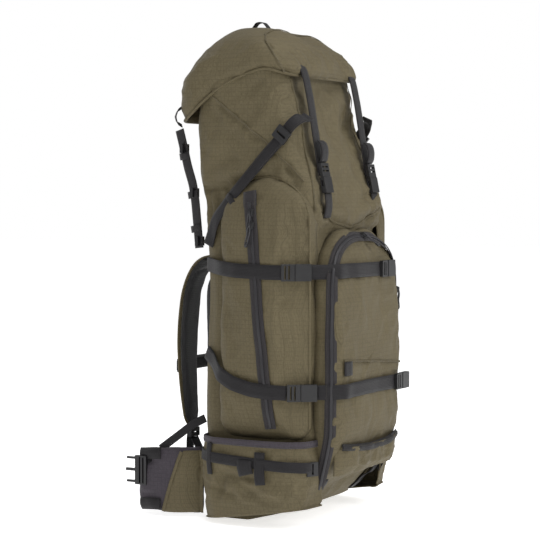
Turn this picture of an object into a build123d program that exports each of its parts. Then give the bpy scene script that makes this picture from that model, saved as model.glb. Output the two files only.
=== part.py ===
"""Hunting backpack: a tall framed rucksack with a hinged lid, pockets, straps and harness.

Millimetres. +Z is up, -Y is the outer front, +Y is the harness side, -X is the wearer's left.
The origin is on the floor, in the middle of the flat part of the base.
Each soft part is a thin closed solid of the right size and place.
"""
import os

from build123d import *

# Driving dimensions of the bag body: height, front edge, back edge and half width.
BODY_SECTIONS = [
    (0, -45, 106, 138),
    (22, -78, 110, 146),
    (55, -96, 113, 150),
    (150, -104, 115, 152),
    (480, -100, 111, 152),
    (585, -86, 125, 152),
    (700, -58, 143, 150),
    (790, -38, 122, 148),
]
BODY_TOP = 790
BODY_WALL = 4
CORNER_RADIUS = 32
SEAM_X = 118
FAR = 1000

# Lid: side outline (y, z) of the outer shell, its half width and wall.
LID_UPPER = [(-56, 818), (-24, 851), (75, 873), (140, 852), (176, 800), (182, 750), (166, 686)]
LID_LOWER = [(160, 686), (72, 763), (-10, 790), (-45, 779), (-56, 772)]
LID_HALF_WIDTH = 160
LID_WALL = 4
LID_REAR = 182
LID_FRONT = -56

# Webbing and buckles.
WEB_WIDTH = 25
WEB_THICK = 1.6
BUCKLE_WIDTH = 29
PLUG_LENGTH = 24
SOCKET_LENGTH = 28
PRONG_LENGTH = 20
LID_STRAP_X = 95
UPPER_STRAP_Z = 440
LOWER_STRAP_Z = 235

# Pockets.
SIDE_POCKET_X = 185
SIDE_POCKET_BASE = [(66, 160), (66, 535), (30, 580), (-10, 598), (-55, 580), (-98, 520), (-98, 160)]
SIDE_POCKET_TOP = [(46, 172), (46, 520), (24, 562), (-10, 580), (-36, 562), (-50, 510), (-50, 172)]
BOTTLE_POCKET_X = 184
BOTTLE_POCKET_TOP = 142
BOTTLE_POCKET_BOTTOM = 30
POCKET_WALL = 3
FRONT_POCKET_SIDE = [(-60, 58), (-115, 74), (-140, 130), (-150, 170), (-150, 310), (-143, 400), (-133, 481)]
FRONT_POCKET_TOP = 504
FRONT_POCKET_HALF = 118
ARCH_RADIUS = 104
ARCH_CENTRE_Z = 400
ZIP_WIDTH = 12
ZIP_THICK = 1

# Harness.
STRAP_X = 78
STRAP_WIDTH = 62
STRAP_THICK = 14
STRAP_PATH = [(122, 462), (158, 448), (183, 395), (191, 330), (190, 250), (182, 185), (174, 152)]
WING_PATH = [(-126, 131), (-146, 160), (-152, 200), (-151, 243)]
WING_THICK = 16
WING_BOTTOM = 3
WING_TOP = 126
STERNUM_Z = 262
HIP_BUCKLE_Z = 80
HIP_BUCKLE_WIDTH = 52


def interpolate(z, column):
    """Body edge at height z, between the two nearest sections."""
    for low, high in zip(BODY_SECTIONS, BODY_SECTIONS[1:]):
        if z <= high[0]:
            part = (z - low[0]) / (high[0] - low[0])
            return low[column] + part * (high[column] - low[column])
    return BODY_SECTIONS[-1][column]


def back_y(z):
    """Outer back face of the body at height z."""
    return interpolate(z, 2)


def slab(x, y, z):
    """Box from three (low, high) pairs."""
    size = [high - low for low, high in (x, y, z)]
    centre = [(high + low) / 2 for low, high in (x, y, z)]
    return Pos(*centre) * Box(*size)


def side_prism(outline, x_low, x_high):
    """Prism of a (y, z) outline between two X planes."""
    face = make_face(Polyline(*outline, close=True))
    return extrude(Plane.YZ.offset(x_low) * face, amount=x_high - x_low)


def plan_prism(outline, z_low, z_high):
    """Prism of an (x, y) outline between two heights."""
    face = make_face(Polyline(*outline, close=True))
    return extrude(Plane.XY.offset(z_low) * face, amount=z_high - z_low)


def band(points, thickness):
    """Closed outline of a strip centred on a path of 2-D points."""
    path = [Vector(*point) for point in points]
    normals = []
    for first, second in zip(path, path[1:]):
        run = (second - first).normalized()
        normals.append(Vector(-run.Y, run.X))
    left, right = [], []
    for index, point in enumerate(path):
        before = normals[max(index - 1, 0)]
        after = normals[min(index, len(normals) - 1)]
        middle = (before + after).normalized()
        shift = middle * (thickness / 2 / middle.dot(after))
        left.append(point + shift)
        right.append(point - shift)
    return [(p.X, p.Y) for p in left + right[::-1]]


def both_sides(shape):
    """The shape and its mirror image across the middle, left one first."""
    return [shape, mirror(shape, about=Plane.YZ)]


def pair(shape):
    """The shape and its mirror image as one group of two solids."""
    return Compound(children=both_sides(shape))


def at_buckle(mouth, pull, out):
    """Frame at a socket's mouth: x is the way the plug pulls out, z is away from the bag."""
    return Plane(origin=mouth, x_dir=pull, z_dir=out).location


# Bag body ---------------------------------------------------------------------------------

def body_form(inset, sections):
    """Loft through the body's sections, set in by a wall thickness."""
    faces = []
    for z, front, back, half in sections:
        face = RectangleRounded(2 * (half - inset), back - front - 2 * inset, CORNER_RADIUS - inset)
        faces.append(Plane.XY.offset(z) * Pos(0, (front + back) / 2) * face)
    return loft(faces, ruled=True)


def make_body(outer):
    """Back, front, side and base panels, cut from one hollow form along the seams."""
    low = (BODY_WALL,) + BODY_SECTIONS[0][1:]
    top = (BODY_TOP + 1,) + BODY_SECTIONS[-1][1:]
    inner = body_form(BODY_WALL, [low] + BODY_SECTIONS[1:-1] + [top])
    shell = outer - inner
    wall_z = (BODY_WALL, BODY_TOP)
    middle = 40
    return {
        "base_panel": shell & slab((-FAR, FAR), (-FAR, FAR), (0, BODY_WALL)),
        "back_panel": shell & slab((-SEAM_X, SEAM_X), (middle, FAR), wall_z),
        "front_panel": shell & slab((-SEAM_X, SEAM_X), (-FAR, middle), wall_z),
        "side_panel_left": shell & slab((-FAR, -SEAM_X), (-FAR, FAR), wall_z),
        "side_panel_right": shell & slab((SEAM_X, FAR), (-FAR, FAR), wall_z),
    }


def make_collar():
    """Gathered collar above the body, its drawcord and the cord lock."""
    rim_z, rim_half, rim_front, rim_back = 815, 106, -10, 96
    wall = 2
    shells = []
    for inset in (0, wall):
        base = RectangleRounded(2 * (147 - inset), 158 - 2 * inset, CORNER_RADIUS - inset)
        rim = RectangleRounded(2 * (rim_half - inset), rim_back - rim_front - 2 * inset, 30 - inset)
        low = Plane.XY.offset(BODY_TOP) * Pos(0, 42) * base
        high = Plane.XY.offset(rim_z) * Pos(0, (rim_front + rim_back) / 2) * rim
        shells.append(loft([low, high], ruled=True))
    cord_radius = 1.5
    cord_z = rim_z + cord_radius + 0.1
    route = RectangleRounded(2 * rim_half - 4, rim_back - rim_front - 4, 28).wire()
    route = Plane.XY.offset(cord_z) * Pos(0, (rim_front + rim_back) / 2) * route
    cord_y = rim_front + 2
    start = Plane(origin=(0, cord_y, cord_z), z_dir=(1, 0, 0))
    section = start * Circle(cord_radius)
    lock = Pos(0, cord_y, cord_z) * Box(18, 9, 9) - Pos(0, cord_y, cord_z) * Rot(0, 90, 0) * Cylinder(
        cord_radius + 0.4, 30
    )
    lock = lock & slab((-FAR, FAR), (-FAR, FAR), (rim_z + 0.4, FAR))
    return {
        "collar": shells[0] - shells[1],
        "collar_drawcord": sweep(section, path=route),
        "cord_lock": lock,
    }


def make_frame():
    """Plastic sheet and two aluminium stays that stiffen the back."""
    heights = [8, 150, 470]
    sheet_line = [(back_y(z) - BODY_WALL - 2, z) for z in heights]
    stay_line = [(back_y(z) - BODY_WALL - 5, z) for z in heights]
    stay = side_prism(band(stay_line, 3), -72, -48)
    return {
        "frame_sheet": side_prism(band(sheet_line, 2), -110, 110),
        "frame_stays": pair(stay),
    }


# Lid --------------------------------------------------------------------------------------

def lid_form(inset):
    """Domed lid form, set in by a wall thickness."""
    upper = LID_UPPER
    if inset:
        line = [LID_LOWER[-1]] + LID_UPPER + [LID_LOWER[0]]
        shifted = band([(y, z) for y, z in line], 2 * inset)
        count = len(line)
        upper = shifted[count:][::-1][1:-1]
    lower = [(y, z) for y, z in LID_LOWER]
    if inset:
        lower = [(LID_REAR - 22, 676), (72, 753), (-10, 780), (-45, 769), (LID_FRONT + inset, 762)]
    side = side_prism(upper + lower, -LID_HALF_WIDTH, LID_HALF_WIDTH)
    half = LID_HALF_WIDTH - inset
    length = LID_REAR - LID_FRONT - 2 * inset
    plan = Pos(0, (LID_REAR + LID_FRONT) / 2, 770) * extrude(
        RectangleRounded(2 * half, length, 42 - inset), amount=130, both=True
    )
    crown = RectangleRounded(2 * half, 300, 46 - inset)
    crown_face = Plane.XZ.offset(-FAR) * Pos(0, 874 - inset - 150) * crown
    return side & plan & extrude(crown_face, amount=2 * FAR)


def make_lid():
    """Lid shell, grab loop, end tabs and the two webbing straps that hang from its front."""
    shell = lid_form(0) - lid_form(LID_WALL)
    x_low, x_high = -LID_STRAP_X - WEB_WIDTH / 2, -LID_STRAP_X + WEB_WIDTH / 2
    strap_line = [(-58, 812), (-58.5, 774), (-93.4, 602)]
    strap = side_prism(band(strap_line, WEB_THICK), x_low, x_high)
    arch = side_prism([(66, 870), (66, 882), (88, 882), (88, 866)], -7, 7)
    loop = arch - side_prism([(68, 860), (68, 880), (86, 880), (86, 860)], -8, 8)
    tab = slab((-150, -142), (183, 188), (700, 714))
    return {
        "lid_shell": shell,
        "lid_tabs": Compound(children=[loop - lid_form(0)] + both_sides(tab - lid_form(0))),
        "lid_straps": pair(strap),
    }


# Buckles ----------------------------------------------------------------------------------

def socket_form(width):
    """Side-release socket: a sleeve open at its mouth, with side windows."""
    outer = slab((-SOCKET_LENGTH, 0), (-width / 2, width / 2), (-2.6, 6.4))
    cavity = slab((-22, 1), (-width / 2 + 2.5, width / 2 - 2.5), (-0.1, 3.9))
    window = slab((-16, -6), (-width, width), (-0.1, 3.9))
    return outer - cavity - window


def plug_form(width):
    """Side-release plug: a ladder body, a middle prong and two side arms."""
    body = slab((0.3, PLUG_LENGTH), (-width / 2, width / 2), (-0.6, 5.4))
    slot = slab((9, 12), (-width / 2 + 3, width / 2 - 3), (-5, 9))
    second_slot = slab((16, 19), (-width / 2 + 3, width / 2 - 3), (-5, 9))
    prong = slab((-PRONG_LENGTH, 1), (-2.5, 2.5), (0.4, 3.4))
    arm_out = width / 2 - 3
    arm = slab((-PRONG_LENGTH + 2, 1), (arm_out - 4, arm_out), (0.4, 3.4))
    return body - slot - second_slot + prong + arm + mirror(arm, about=Plane.XZ)


def buckle_frames():
    """Mouth frame of each strap buckle, by name."""
    lid_pull = (0, 0.199, 0.98)
    lid_out = (0, -0.98, 0.199)
    corner_pull = (-0.6, 0.8, 0)
    corner_out = (-0.8, -0.6, 0)
    return {
        "lid_left": at_buckle((-LID_STRAP_X, -97.7, 602), lid_pull, lid_out),
        "lid_right": at_buckle((LID_STRAP_X, -97.7, 602), lid_pull, lid_out),
        "upper_left": at_buckle((-172, -80, UPPER_STRAP_Z), corner_pull, corner_out),
        "lower_left": at_buckle((-166, -88, LOWER_STRAP_Z), corner_pull, corner_out),
        "upper_right": at_buckle((58, -145, UPPER_STRAP_Z), (-1, 0, 0), (0, -1, 0)),
        "lower_right": at_buckle((100, -155, LOWER_STRAP_Z), (-1, 0, 0), (0, -1, 0)),
    }


def make_buckles():
    """Plugs, each its own piece, and the sockets in two groups of like pieces."""
    frames = buckle_frames()
    parts = {"plug_" + name: frame * plug_form(BUCKLE_WIDTH) for name, frame in frames.items()}
    lid_sockets = [frames[name] * socket_form(BUCKLE_WIDTH) for name in ("lid_left", "lid_right")]
    names = ("upper_left", "lower_left", "upper_right", "lower_right")
    strap_sockets = [frames[name] * socket_form(BUCKLE_WIDTH) for name in names]
    parts["lid_sockets"] = Compound(children=lid_sockets)
    parts["compression_sockets"] = Compound(children=strap_sockets)
    return parts


# Webbing on the bag -----------------------------------------------------------------------

def level_strap(points, z):
    """Horizontal run of webbing along an (x, y) path."""
    half = WEB_WIDTH / 2
    return plan_prism(band(points, WEB_THICK), z - half, z + half)


def side_route(x_end, y_end):
    """Left side route from the frame, round the side pocket, to the plug's ladder end."""
    return [(-140, 114.5), (-158, 96), (-193, 40), (-193, -36), (x_end, y_end)]


def mirrored(points):
    """The same (x, y) route on the other side."""
    return [(-x, y) for x, y in points]


def make_compression():
    """Side and front runs of the upper and lower compression straps."""
    right_side = mirrored([(-140, 114.5), (-158, 96), (-193, 40), (-193, -52), (-160, -108)])
    upper_left = level_strap(side_route(-185.6, -58.8), UPPER_STRAP_Z)
    lower_left = level_strap(side_route(-180.6, -65.2), LOWER_STRAP_Z)
    upper_right = level_strap(right_side + [(120, -142), (86.2, -145)], UPPER_STRAP_Z)
    lower_right = level_strap(right_side + [(150, -146), (128.8, -155)], LOWER_STRAP_Z)
    upper_front = [(-154.8, -102.8), (-130, -130), (-121, -143.2), (44, -143.2)]
    lower_front = [(-148.8, -110.8), (-133, -138), (-122, -153.2), (88, -153.2)]
    return {
        "upper_side_straps": Compound(children=[upper_left, upper_right]),
        "lower_side_straps": Compound(children=[lower_left, lower_right]),
        "upper_front_strap": level_strap(upper_front, UPPER_STRAP_Z),
        "lower_front_strap": level_strap(lower_front, LOWER_STRAP_Z),
    }


def make_body_straps(body, side_pocket):
    """Diagonal, rear lid, anchor and bottom straps with their ladder locks."""
    diagonal = Plane(origin=(-154.2, 13, 602), x_dir=(0, -0.64, 0.768), z_dir=(-1, 0, 0)).location
    strap = diagonal * slab((-134, 134), (-10, 10), (-0.8, 0.8)) - side_pocket
    lock = diagonal * slab((82, 106), (-14, 14), (0.9, 6)) - diagonal * slab((92, 96), (-10, 10), (0, 9))
    rear = side_prism(band([(157, 680), (128, 569), (120, 482)], WEB_THICK), -149, -131)
    rear_locks = [
        slab((-152, -128), (y, y + 6), (z - 8, z + 8))
        for y, z in ((152.6, 653), (132.2, 575), (121.9, 490))
    ]
    rear_locks = [lock_block - rear for lock_block in rear_locks]
    anchor_x = (-LID_STRAP_X - WEB_WIDTH / 2, -LID_STRAP_X + WEB_WIDTH / 2)
    anchor_line = [(-103.8, 573.0), (-98.5, 552), (-97.6, 534)]
    anchor = side_prism(band(anchor_line, WEB_THICK), *anchor_x)
    bottom = side_prism(band([(-70, 12), (-103, 42), (-110, 56)], WEB_THICK), -112, -88) - body
    return {
        "diagonal_straps": pair(strap),
        "diagonal_ladder_locks": both_sides(lock),
        "rear_lid_straps": pair(rear),
        "rear_adjusters": Compound(children=[s for block in rear_locks for s in both_sides(block)]),
        "lid_strap_anchors": pair(anchor),
        "bottom_straps": pair(bottom),
    }


# Pockets ----------------------------------------------------------------------------------

def pocket_form(base, top, x_base, x_top):
    """Bulged pocket: a loft between two (y, z) outlines on the left side."""
    faces = []
    for outline, x in ((base, x_base), (top, x_top)):
        faces.append(Plane.YZ.offset(-x) * make_face(Polyline(*outline, close=True)))
    return loft(faces, ruled=True)


def shrink(outline, amount):
    """The outline moved in towards its middle by an amount on each axis."""
    y_mid = (max(y for y, z in outline) + min(y for y, z in outline)) / 2
    z_mid = (max(z for y, z in outline) + min(z for y, z in outline)) / 2
    y_half = max(y for y, z in outline) - y_mid
    z_half = max(z for y, z in outline) - z_mid
    return [
        (y_mid + (y - y_mid) * (1 - amount / y_half), z_mid + (z - z_mid) * (1 - amount / z_half))
        for y, z in outline
    ]


def make_side_pockets(body):
    """Arched side pockets, their zip tapes and sliders, and the open bottle pockets."""
    outer = pocket_form(SIDE_POCKET_BASE, SIDE_POCKET_TOP, 130, SIDE_POCKET_X)
    base_in, top_in = shrink(SIDE_POCKET_BASE, POCKET_WALL), shrink(SIDE_POCKET_TOP, POCKET_WALL)
    inner = pocket_form(base_in, top_in, 129, SIDE_POCKET_X - POCKET_WALL)
    pocket = outer - inner - body
    tape_low, tape_high = (-40, 178), (-8, 556)
    tape_line = band([tape_low, tape_high], ZIP_WIDTH)
    tape = side_prism(tape_line, -SIDE_POCKET_X - ZIP_THICK, -SIDE_POCKET_X)
    face_x = -SIDE_POCKET_X - ZIP_THICK - 0.3
    sliders = [slab((face_x - 4.5, face_x), (-16, -4), (z, z + 14)) for z in (522, 540)]
    pulls = [slab((face_x - 3.5, face_x - 1), (2, 5), (z - 22, z + 7)) for z in (522, 540)]
    bars = [slab((face_x - 3.5, face_x - 1), (-4, 2), (z + 3, z + 7)) for z in (522, 540)]
    slider = Compound(children=[a + b + c for a, b, c in zip(sliders, bars, pulls)])
    return outer, {
        "side_pocket_left": pocket,
        "side_pocket_right": mirror(pocket, about=Plane.YZ),
        "side_zip_tapes": pair(tape),
        "side_zip_slider_left": slider,
        "side_zip_slider_right": mirror(slider, about=Plane.YZ),
    }


def make_bottle_pockets(body):
    """Open-topped bottle pockets low on each side, and the webbing round them."""
    z_range = (BOTTLE_POCKET_BOTTOM, BOTTLE_POCKET_TOP)
    outline = [(-120, 104), (-160, 104), (-BOTTLE_POCKET_X, 70), (-BOTTLE_POCKET_X, -60), (-160, -98), (-120, -98)]
    inside = [(-110, 101), (-158, 101), (3 - BOTTLE_POCKET_X, 69), (3 - BOTTLE_POCKET_X, -59), (-158, -95), (-110, -95)]
    outer = plan_prism(outline, *z_range)
    hollow = plan_prism(inside, BOTTLE_POCKET_BOTTOM + POCKET_WALL, BOTTLE_POCKET_TOP + 1)
    pocket = outer - hollow - body
    offset = 1.1
    line = [(-160.6, 105.2), (-BOTTLE_POCKET_X - offset, 70.4), (-BOTTLE_POCKET_X - offset, -60.4), (-160.6, -99.2)]
    web = plan_prism(band(line, WEB_THICK), 94, 114) - outer
    lock_frame = Plane(origin=(-150, -100.5, 104), x_dir=(0.85, -0.52, 0), z_dir=(-0.52, -0.85, 0)).location
    lock = lock_frame * slab((-12, 10), (-12, 12), (1, 7)) - lock_frame * slab((-3, 1), (-9, 9), (0, 9))
    lock = lock - web - outer
    return {
        "bottle_pocket_left": pocket,
        "bottle_pocket_right": mirror(pocket, about=Plane.YZ),
        "bottle_pocket_straps": pair(web),
        "bottle_ladder_locks": both_sides(lock),
    }


def front_form(inset):
    """Front pocket form: side outline met by an arched front outline."""
    side = [(y + inset * 1.0, z) for y, z in FRONT_POCKET_SIDE]
    side = side + [(-118 + inset, FRONT_POCKET_TOP - inset), (-60, FRONT_POCKET_TOP - inset)]
    profile = side_prism(side, -FAR, FAR)
    half = FRONT_POCKET_HALF - inset
    bottom = 58 + inset
    legs = slab((-half, half), (-FAR, FAR), (bottom, ARCH_CENTRE_Z))
    arch = Pos(0, 0, ARCH_CENTRE_Z) * Rot(90, 0, 0) * Cylinder(half, 2 * FAR)
    squash = arch & slab((-half, half), (-FAR, FAR), (ARCH_CENTRE_Z - 1, FAR))
    return profile & (legs + squash)


def make_front_pocket(body):
    """Zipped front pocket, its arched zip with two sliders, and the open stash pocket."""
    outer = front_form(0)
    pocket = outer - front_form(POCKET_WALL) - body
    zip_outer, zip_inner = ARCH_RADIUS, ARCH_RADIUS - ZIP_WIDTH
    leg = slab((zip_inner, zip_outer), (-FAR, 0), (165, ARCH_CENTRE_Z))
    ring = Pos(0, -300, ARCH_CENTRE_Z) * Rot(90, 0, 0) * (Cylinder(zip_outer, 600) - Cylinder(zip_inner, 700))
    ring = ring & slab((-FAR, FAR), (-FAR, FAR), (ARCH_CENTRE_Z, FAR))
    track = leg + mirror(leg, about=Plane.YZ) + ring
    proud = Pos(0, -ZIP_THICK, 0) * outer - outer
    tape = track & proud
    middle = (zip_outer + zip_inner) / 2
    top_slider = slab((3, 15), (-141.5, -137), (ARCH_CENTRE_Z + middle - 5, ARCH_CENTRE_Z + middle + 5))
    top_pull = slab((7.5, 10.5), (-144.5, -141.5), (ARCH_CENTRE_Z + middle - 24, ARCH_CENTRE_Z + middle + 3))
    side_slider = slab((middle - 5, middle + 5), (-156, -151.5), (392, 406))
    side_pull = slab((middle - 1.5, middle + 1.5), (-158.5, -156), (366, 402))
    stash_line = [(-147.5, 92), (-153.4, 140)]
    stash = side_prism(band(stash_line, 2), -88, 88)
    ends = side_prism([(-140, 92), (-148.2, 92), (-154.2, 140), (-144, 140)], 88, 91)
    floor = slab((-91, 91), (-148.2, -110), (89, 92))
    stash = stash + ends + mirror(ends, about=Plane.YZ) + floor - outer
    return {
        "front_pocket": pocket,
        "front_pocket_zip": tape,
        "front_zip_slider_top": top_slider + top_pull,
        "front_zip_slider_side": side_slider + side_pull,
        "stash_pocket": stash,
    }


# Harness ----------------------------------------------------------------------------------

def make_pads(body):
    """Foam back pad and lumbar pad."""
    back = slab((-106, 106), (100, 134), (152, 428)) - body
    lumbar = slab((-62, 62), (100, 146), (14, 138)) - body
    return {"back_pad": back, "lumbar_pad": lumbar}


def make_shoulders():
    """Padded shoulder straps, their lower ladder locks and the webbing back to the bag."""
    x_low, x_high = -STRAP_X - STRAP_WIDTH / 2, -STRAP_X + STRAP_WIDTH / 2
    strap = side_prism(band(STRAP_PATH, STRAP_THICK), x_low, x_high)
    lock = slab((-STRAP_X - 15, -STRAP_X + 15), (170, 177), (134, 150)) - strap
    lock = lock - slab((-STRAP_X - 12, -STRAP_X + 12), (160, 180), (140, 143))
    web_line = [(172, 133.4), (162, 112), (118, 60)]
    web = side_prism(band(web_line, WEB_THICK), -STRAP_X - 12, -STRAP_X + 12)
    parts = {}
    for side, solid, link in zip(("left", "right"), both_sides(strap), both_sides(lock)):
        parts["shoulder_strap_" + side] = solid
        parts["shoulder_ladder_lock_" + side] = link
    parts["shoulder_webbing"] = pair(web)
    return parts


def make_sternum():
    """Sternum strap: webbing, two rail sliders and its buckle."""
    web = slab((-STRAP_X - 10, STRAP_X + 10), (202, 203.6), (STERNUM_Z - 9, STERNUM_Z + 9))
    slider = slab((-STRAP_X - 12, -STRAP_X + 12), (199.2, 202), (STERNUM_Z - 12, STERNUM_Z + 12))
    buckle = slab((-28, 28), (203.6, 211), (STERNUM_Z - 12, STERNUM_Z + 12))
    return {"sternum_webbing": web, "sternum_sliders": pair(slider), "sternum_buckle": buckle}


def make_hip_belt():
    """Padded hip belt wings, their webbing and the two halves of the big buckle."""
    wing = plan_prism(band(WING_PATH, WING_THICK), WING_BOTTOM, WING_TOP)
    x_web = -161.2
    half = 24
    z_range = (HIP_BUCKLE_Z - half, HIP_BUCKLE_Z + half)
    web = slab((x_web - WEB_THICK, x_web), (200, 239), z_range)
    short_web = slab((x_web - WEB_THICK, x_web), (200, 234), z_range)
    mouth = (x_web - WEB_THICK - 0.9, 243.6, HIP_BUCKLE_Z)
    frame = at_buckle(mouth, (0, -1, 0), (-1, 0, 0))
    plug = frame * plug_form(HIP_BUCKLE_WIDTH)
    mouth_right = (-mouth[0], 240, HIP_BUCKLE_Z)
    frame_right = at_buckle(mouth_right, (0, 1, 0), (1, 0, 0))
    socket = frame_right * (Pos(0, 0, 2.2) * socket_form(HIP_BUCKLE_WIDTH))
    return {
        "hip_wing_left": wing,
        "hip_wing_right": mirror(wing, about=Plane.YZ),
        "hip_webbing_left": web,
        "hip_webbing_right": mirror(short_web, about=Plane.YZ),
        "hip_plug": plug,
        "hip_socket": socket,
    }


def make_parts():
    """Every node of the backpack, by name."""
    body = body_form(0, BODY_SECTIONS)
    side_outer, side_parts = make_side_pockets(body)
    groups = [
        make_body(body),
        make_collar(),
        make_frame(),
        make_lid(),
        make_buckles(),
        make_compression(),
        make_body_straps(body, side_outer),
        side_parts,
        make_bottle_pockets(body),
        make_front_pocket(body),
        make_pads(body),
        make_shoulders(),
        make_sternum(),
        make_hip_belt(),
    ]
    parts = {name: shape for group in groups for name, shape in group.items()}
    locks = parts.pop("diagonal_ladder_locks") + parts.pop("bottle_ladder_locks")
    parts["ladder_locks"] = Compound(children=locks)
    return parts


os.makedirs("parts", exist_ok=True)
for node, shape in make_parts().items():
    export_step(shape, f"parts/{node}.step")
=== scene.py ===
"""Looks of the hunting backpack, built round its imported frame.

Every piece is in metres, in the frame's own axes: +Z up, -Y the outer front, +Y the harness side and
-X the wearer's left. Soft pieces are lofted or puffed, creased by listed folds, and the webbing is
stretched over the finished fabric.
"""
import logging
import math
from dataclasses import dataclass, field, replace
from enum import Enum
from typing import Callable, ClassVar, Optional, Sequence, Union

import bmesh
import bpy
from mathutils import Matrix, Vector, noise
from mathutils.bvhtree import BVHTree


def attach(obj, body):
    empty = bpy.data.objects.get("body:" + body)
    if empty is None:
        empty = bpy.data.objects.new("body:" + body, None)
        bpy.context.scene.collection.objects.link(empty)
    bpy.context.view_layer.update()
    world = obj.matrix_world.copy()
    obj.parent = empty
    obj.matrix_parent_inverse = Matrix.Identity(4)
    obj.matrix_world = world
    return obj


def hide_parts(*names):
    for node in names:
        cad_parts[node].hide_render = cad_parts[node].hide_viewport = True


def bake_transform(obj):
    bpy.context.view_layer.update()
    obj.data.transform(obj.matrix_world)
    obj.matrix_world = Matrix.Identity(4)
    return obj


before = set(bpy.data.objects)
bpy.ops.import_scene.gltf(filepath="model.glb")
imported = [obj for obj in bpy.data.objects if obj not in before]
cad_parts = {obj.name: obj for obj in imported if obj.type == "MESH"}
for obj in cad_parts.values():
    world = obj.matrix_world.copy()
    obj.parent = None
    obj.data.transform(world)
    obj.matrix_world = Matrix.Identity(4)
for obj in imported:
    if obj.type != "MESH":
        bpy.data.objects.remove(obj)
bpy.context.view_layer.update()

logging.basicConfig(level=logging.INFO, format="%(message)s")
log = logging.getLogger("backpack")

SIDES = {"left": -1, "right": 1}
UP = Vector((0, 0, 1))

# Directions of the woven ribs, as weights of X, Y and Z.
UPWARDS = (0, 0, 1)
SLANT = (0.78, 1, 0)
RIPSTOP_SHARPNESS = 10


class Slot(Enum):
    """Material slots of the record."""

    OLIVE = "olive_fabric"
    CHARCOAL = "charcoal_fabric"
    MESH = "mesh_padding"
    WEBBING = "webbing"
    ZIP = "zip_tape"
    CORD = "cord"
    PLASTIC = "black_plastic"
    SHEET = "frame_plastic"
    METAL = "stay_metal"


# ------------------------------------------------------------------------------------------
# Materials
# ------------------------------------------------------------------------------------------


class NodeSketch:
    """Short way to build a material's nodes."""

    def __init__(self, name: str) -> None:
        """Start an empty material.

        Args:
            name: The material's name.
        """
        self.material = bpy.data.materials.new(name)
        self.material.use_nodes = True
        self.tree = self.material.node_tree
        self.shader = self.tree.nodes["Principled BSDF"]
        self.coords = self.tree.nodes.new("ShaderNodeTexCoord")

    def link(self, source: bpy.types.NodeSocket, target: bpy.types.NodeSocket) -> None:
        """Join two sockets."""
        self.tree.links.new(source, target)

    def math(self, operation: str, first: object, second: object = 0.0) -> bpy.types.NodeSocket:
        """Add a Math node.

        Args:
            operation: The operation's name.
            first: A socket or a number.
            second: A socket or a number.

        Returns:
            The result's socket.
        """
        made = self.tree.nodes.new("ShaderNodeMath")
        made.operation = operation
        for index, value in enumerate((first, second)):
            if isinstance(value, bpy.types.NodeSocket):
                self.link(value, made.inputs[index])
            else:
                made.inputs[index].default_value = value
        return made.outputs[0]

    def mix(self, factor: object, dark: Sequence[float], light: Sequence[float]) -> bpy.types.NodeSocket:
        """Blend two colours by a factor socket.

        Args:
            factor: The socket that drives the blend.
            dark: Colour at 0.
            light: Colour at 1.

        Returns:
            The colour's socket.
        """
        made = self.tree.nodes.new("ShaderNodeMix")
        made.data_type = "RGBA"
        self.link(factor, made.inputs[0])
        made.inputs[6].default_value = (*dark, 1)
        made.inputs[7].default_value = (*light, 1)
        return made.outputs[2]

    def bump(self, height: bpy.types.NodeSocket, strength: float, distance: float) -> None:
        """Drive the shader's normal from a height.

        Args:
            height: The height's socket.
            strength: Share of the bump that is used.
            distance: Real height of 1, in metres.
        """
        made = self.tree.nodes.new("ShaderNodeBump")
        made.inputs["Strength"].default_value = strength
        made.inputs["Distance"].default_value = distance
        self.link(height, made.inputs["Height"])
        self.link(made.outputs[0], self.shader.inputs["Normal"])

    def weigh(self, *parts: tuple[bpy.types.NodeSocket, float]) -> bpy.types.NodeSocket:
        """Add sockets up, each times its weight.

        Args:
            parts: Pairs of a socket and its weight.

        Returns:
            The sum's socket.
        """
        total = None
        for socket, weight in parts:
            share = self.math("MULTIPLY", socket, weight)
            total = share if total is None else self.math("ADD", total, share)
        return total

    def done(self, colour: bpy.types.NodeSocket, values: dict[str, float]) -> bpy.types.Material:
        """Wire the base colour, set the shader's uniform inputs and hand the material over.

        Args:
            colour: The base colour's socket.
            values: Numbers for the shader's inputs, by their names.

        Returns:
            The material.
        """
        self.link(colour, self.shader.inputs["Base Color"])
        for name, value in values.items():
            self.shader.inputs[name].default_value = value
        return self.material

    def wave(self, axis_mix: Sequence[float], period: float, uv: bool = False) -> bpy.types.NodeSocket:
        """Sine ribs along a direction of the object or of its UV map.

        Args:
            axis_mix: Weights of the three coordinates.
            period: Rib spacing in metres.
            uv: Whether the piece's own UV map is read.

        Returns:
            A socket between 0 and 1.
        """
        dot = self.tree.nodes.new("ShaderNodeVectorMath")
        dot.operation = "DOT_PRODUCT"
        self.link(self.coords.outputs["UV" if uv else "Object"], dot.inputs[0])
        dot.inputs[1].default_value = axis_mix
        turns = self.math("MULTIPLY", dot.outputs["Value"], 2 * math.pi / period)
        return self.math("ADD", self.math("MULTIPLY", self.math("SINE", turns), 0.5), 0.5)

    def noise(self, scale: float, detail: float = 3.0) -> bpy.types.NodeSocket:
        """Noise on Object coordinates.

        Args:
            scale: Features per metre.
            detail: Octaves.

        Returns:
            The factor's socket.
        """
        made = self.tree.nodes.new("ShaderNodeTexNoise")
        made.inputs["Scale"].default_value = scale
        made.inputs["Detail"].default_value = detail
        self.link(self.coords.outputs["Object"], made.inputs["Vector"])
        return made.outputs[0]


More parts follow.
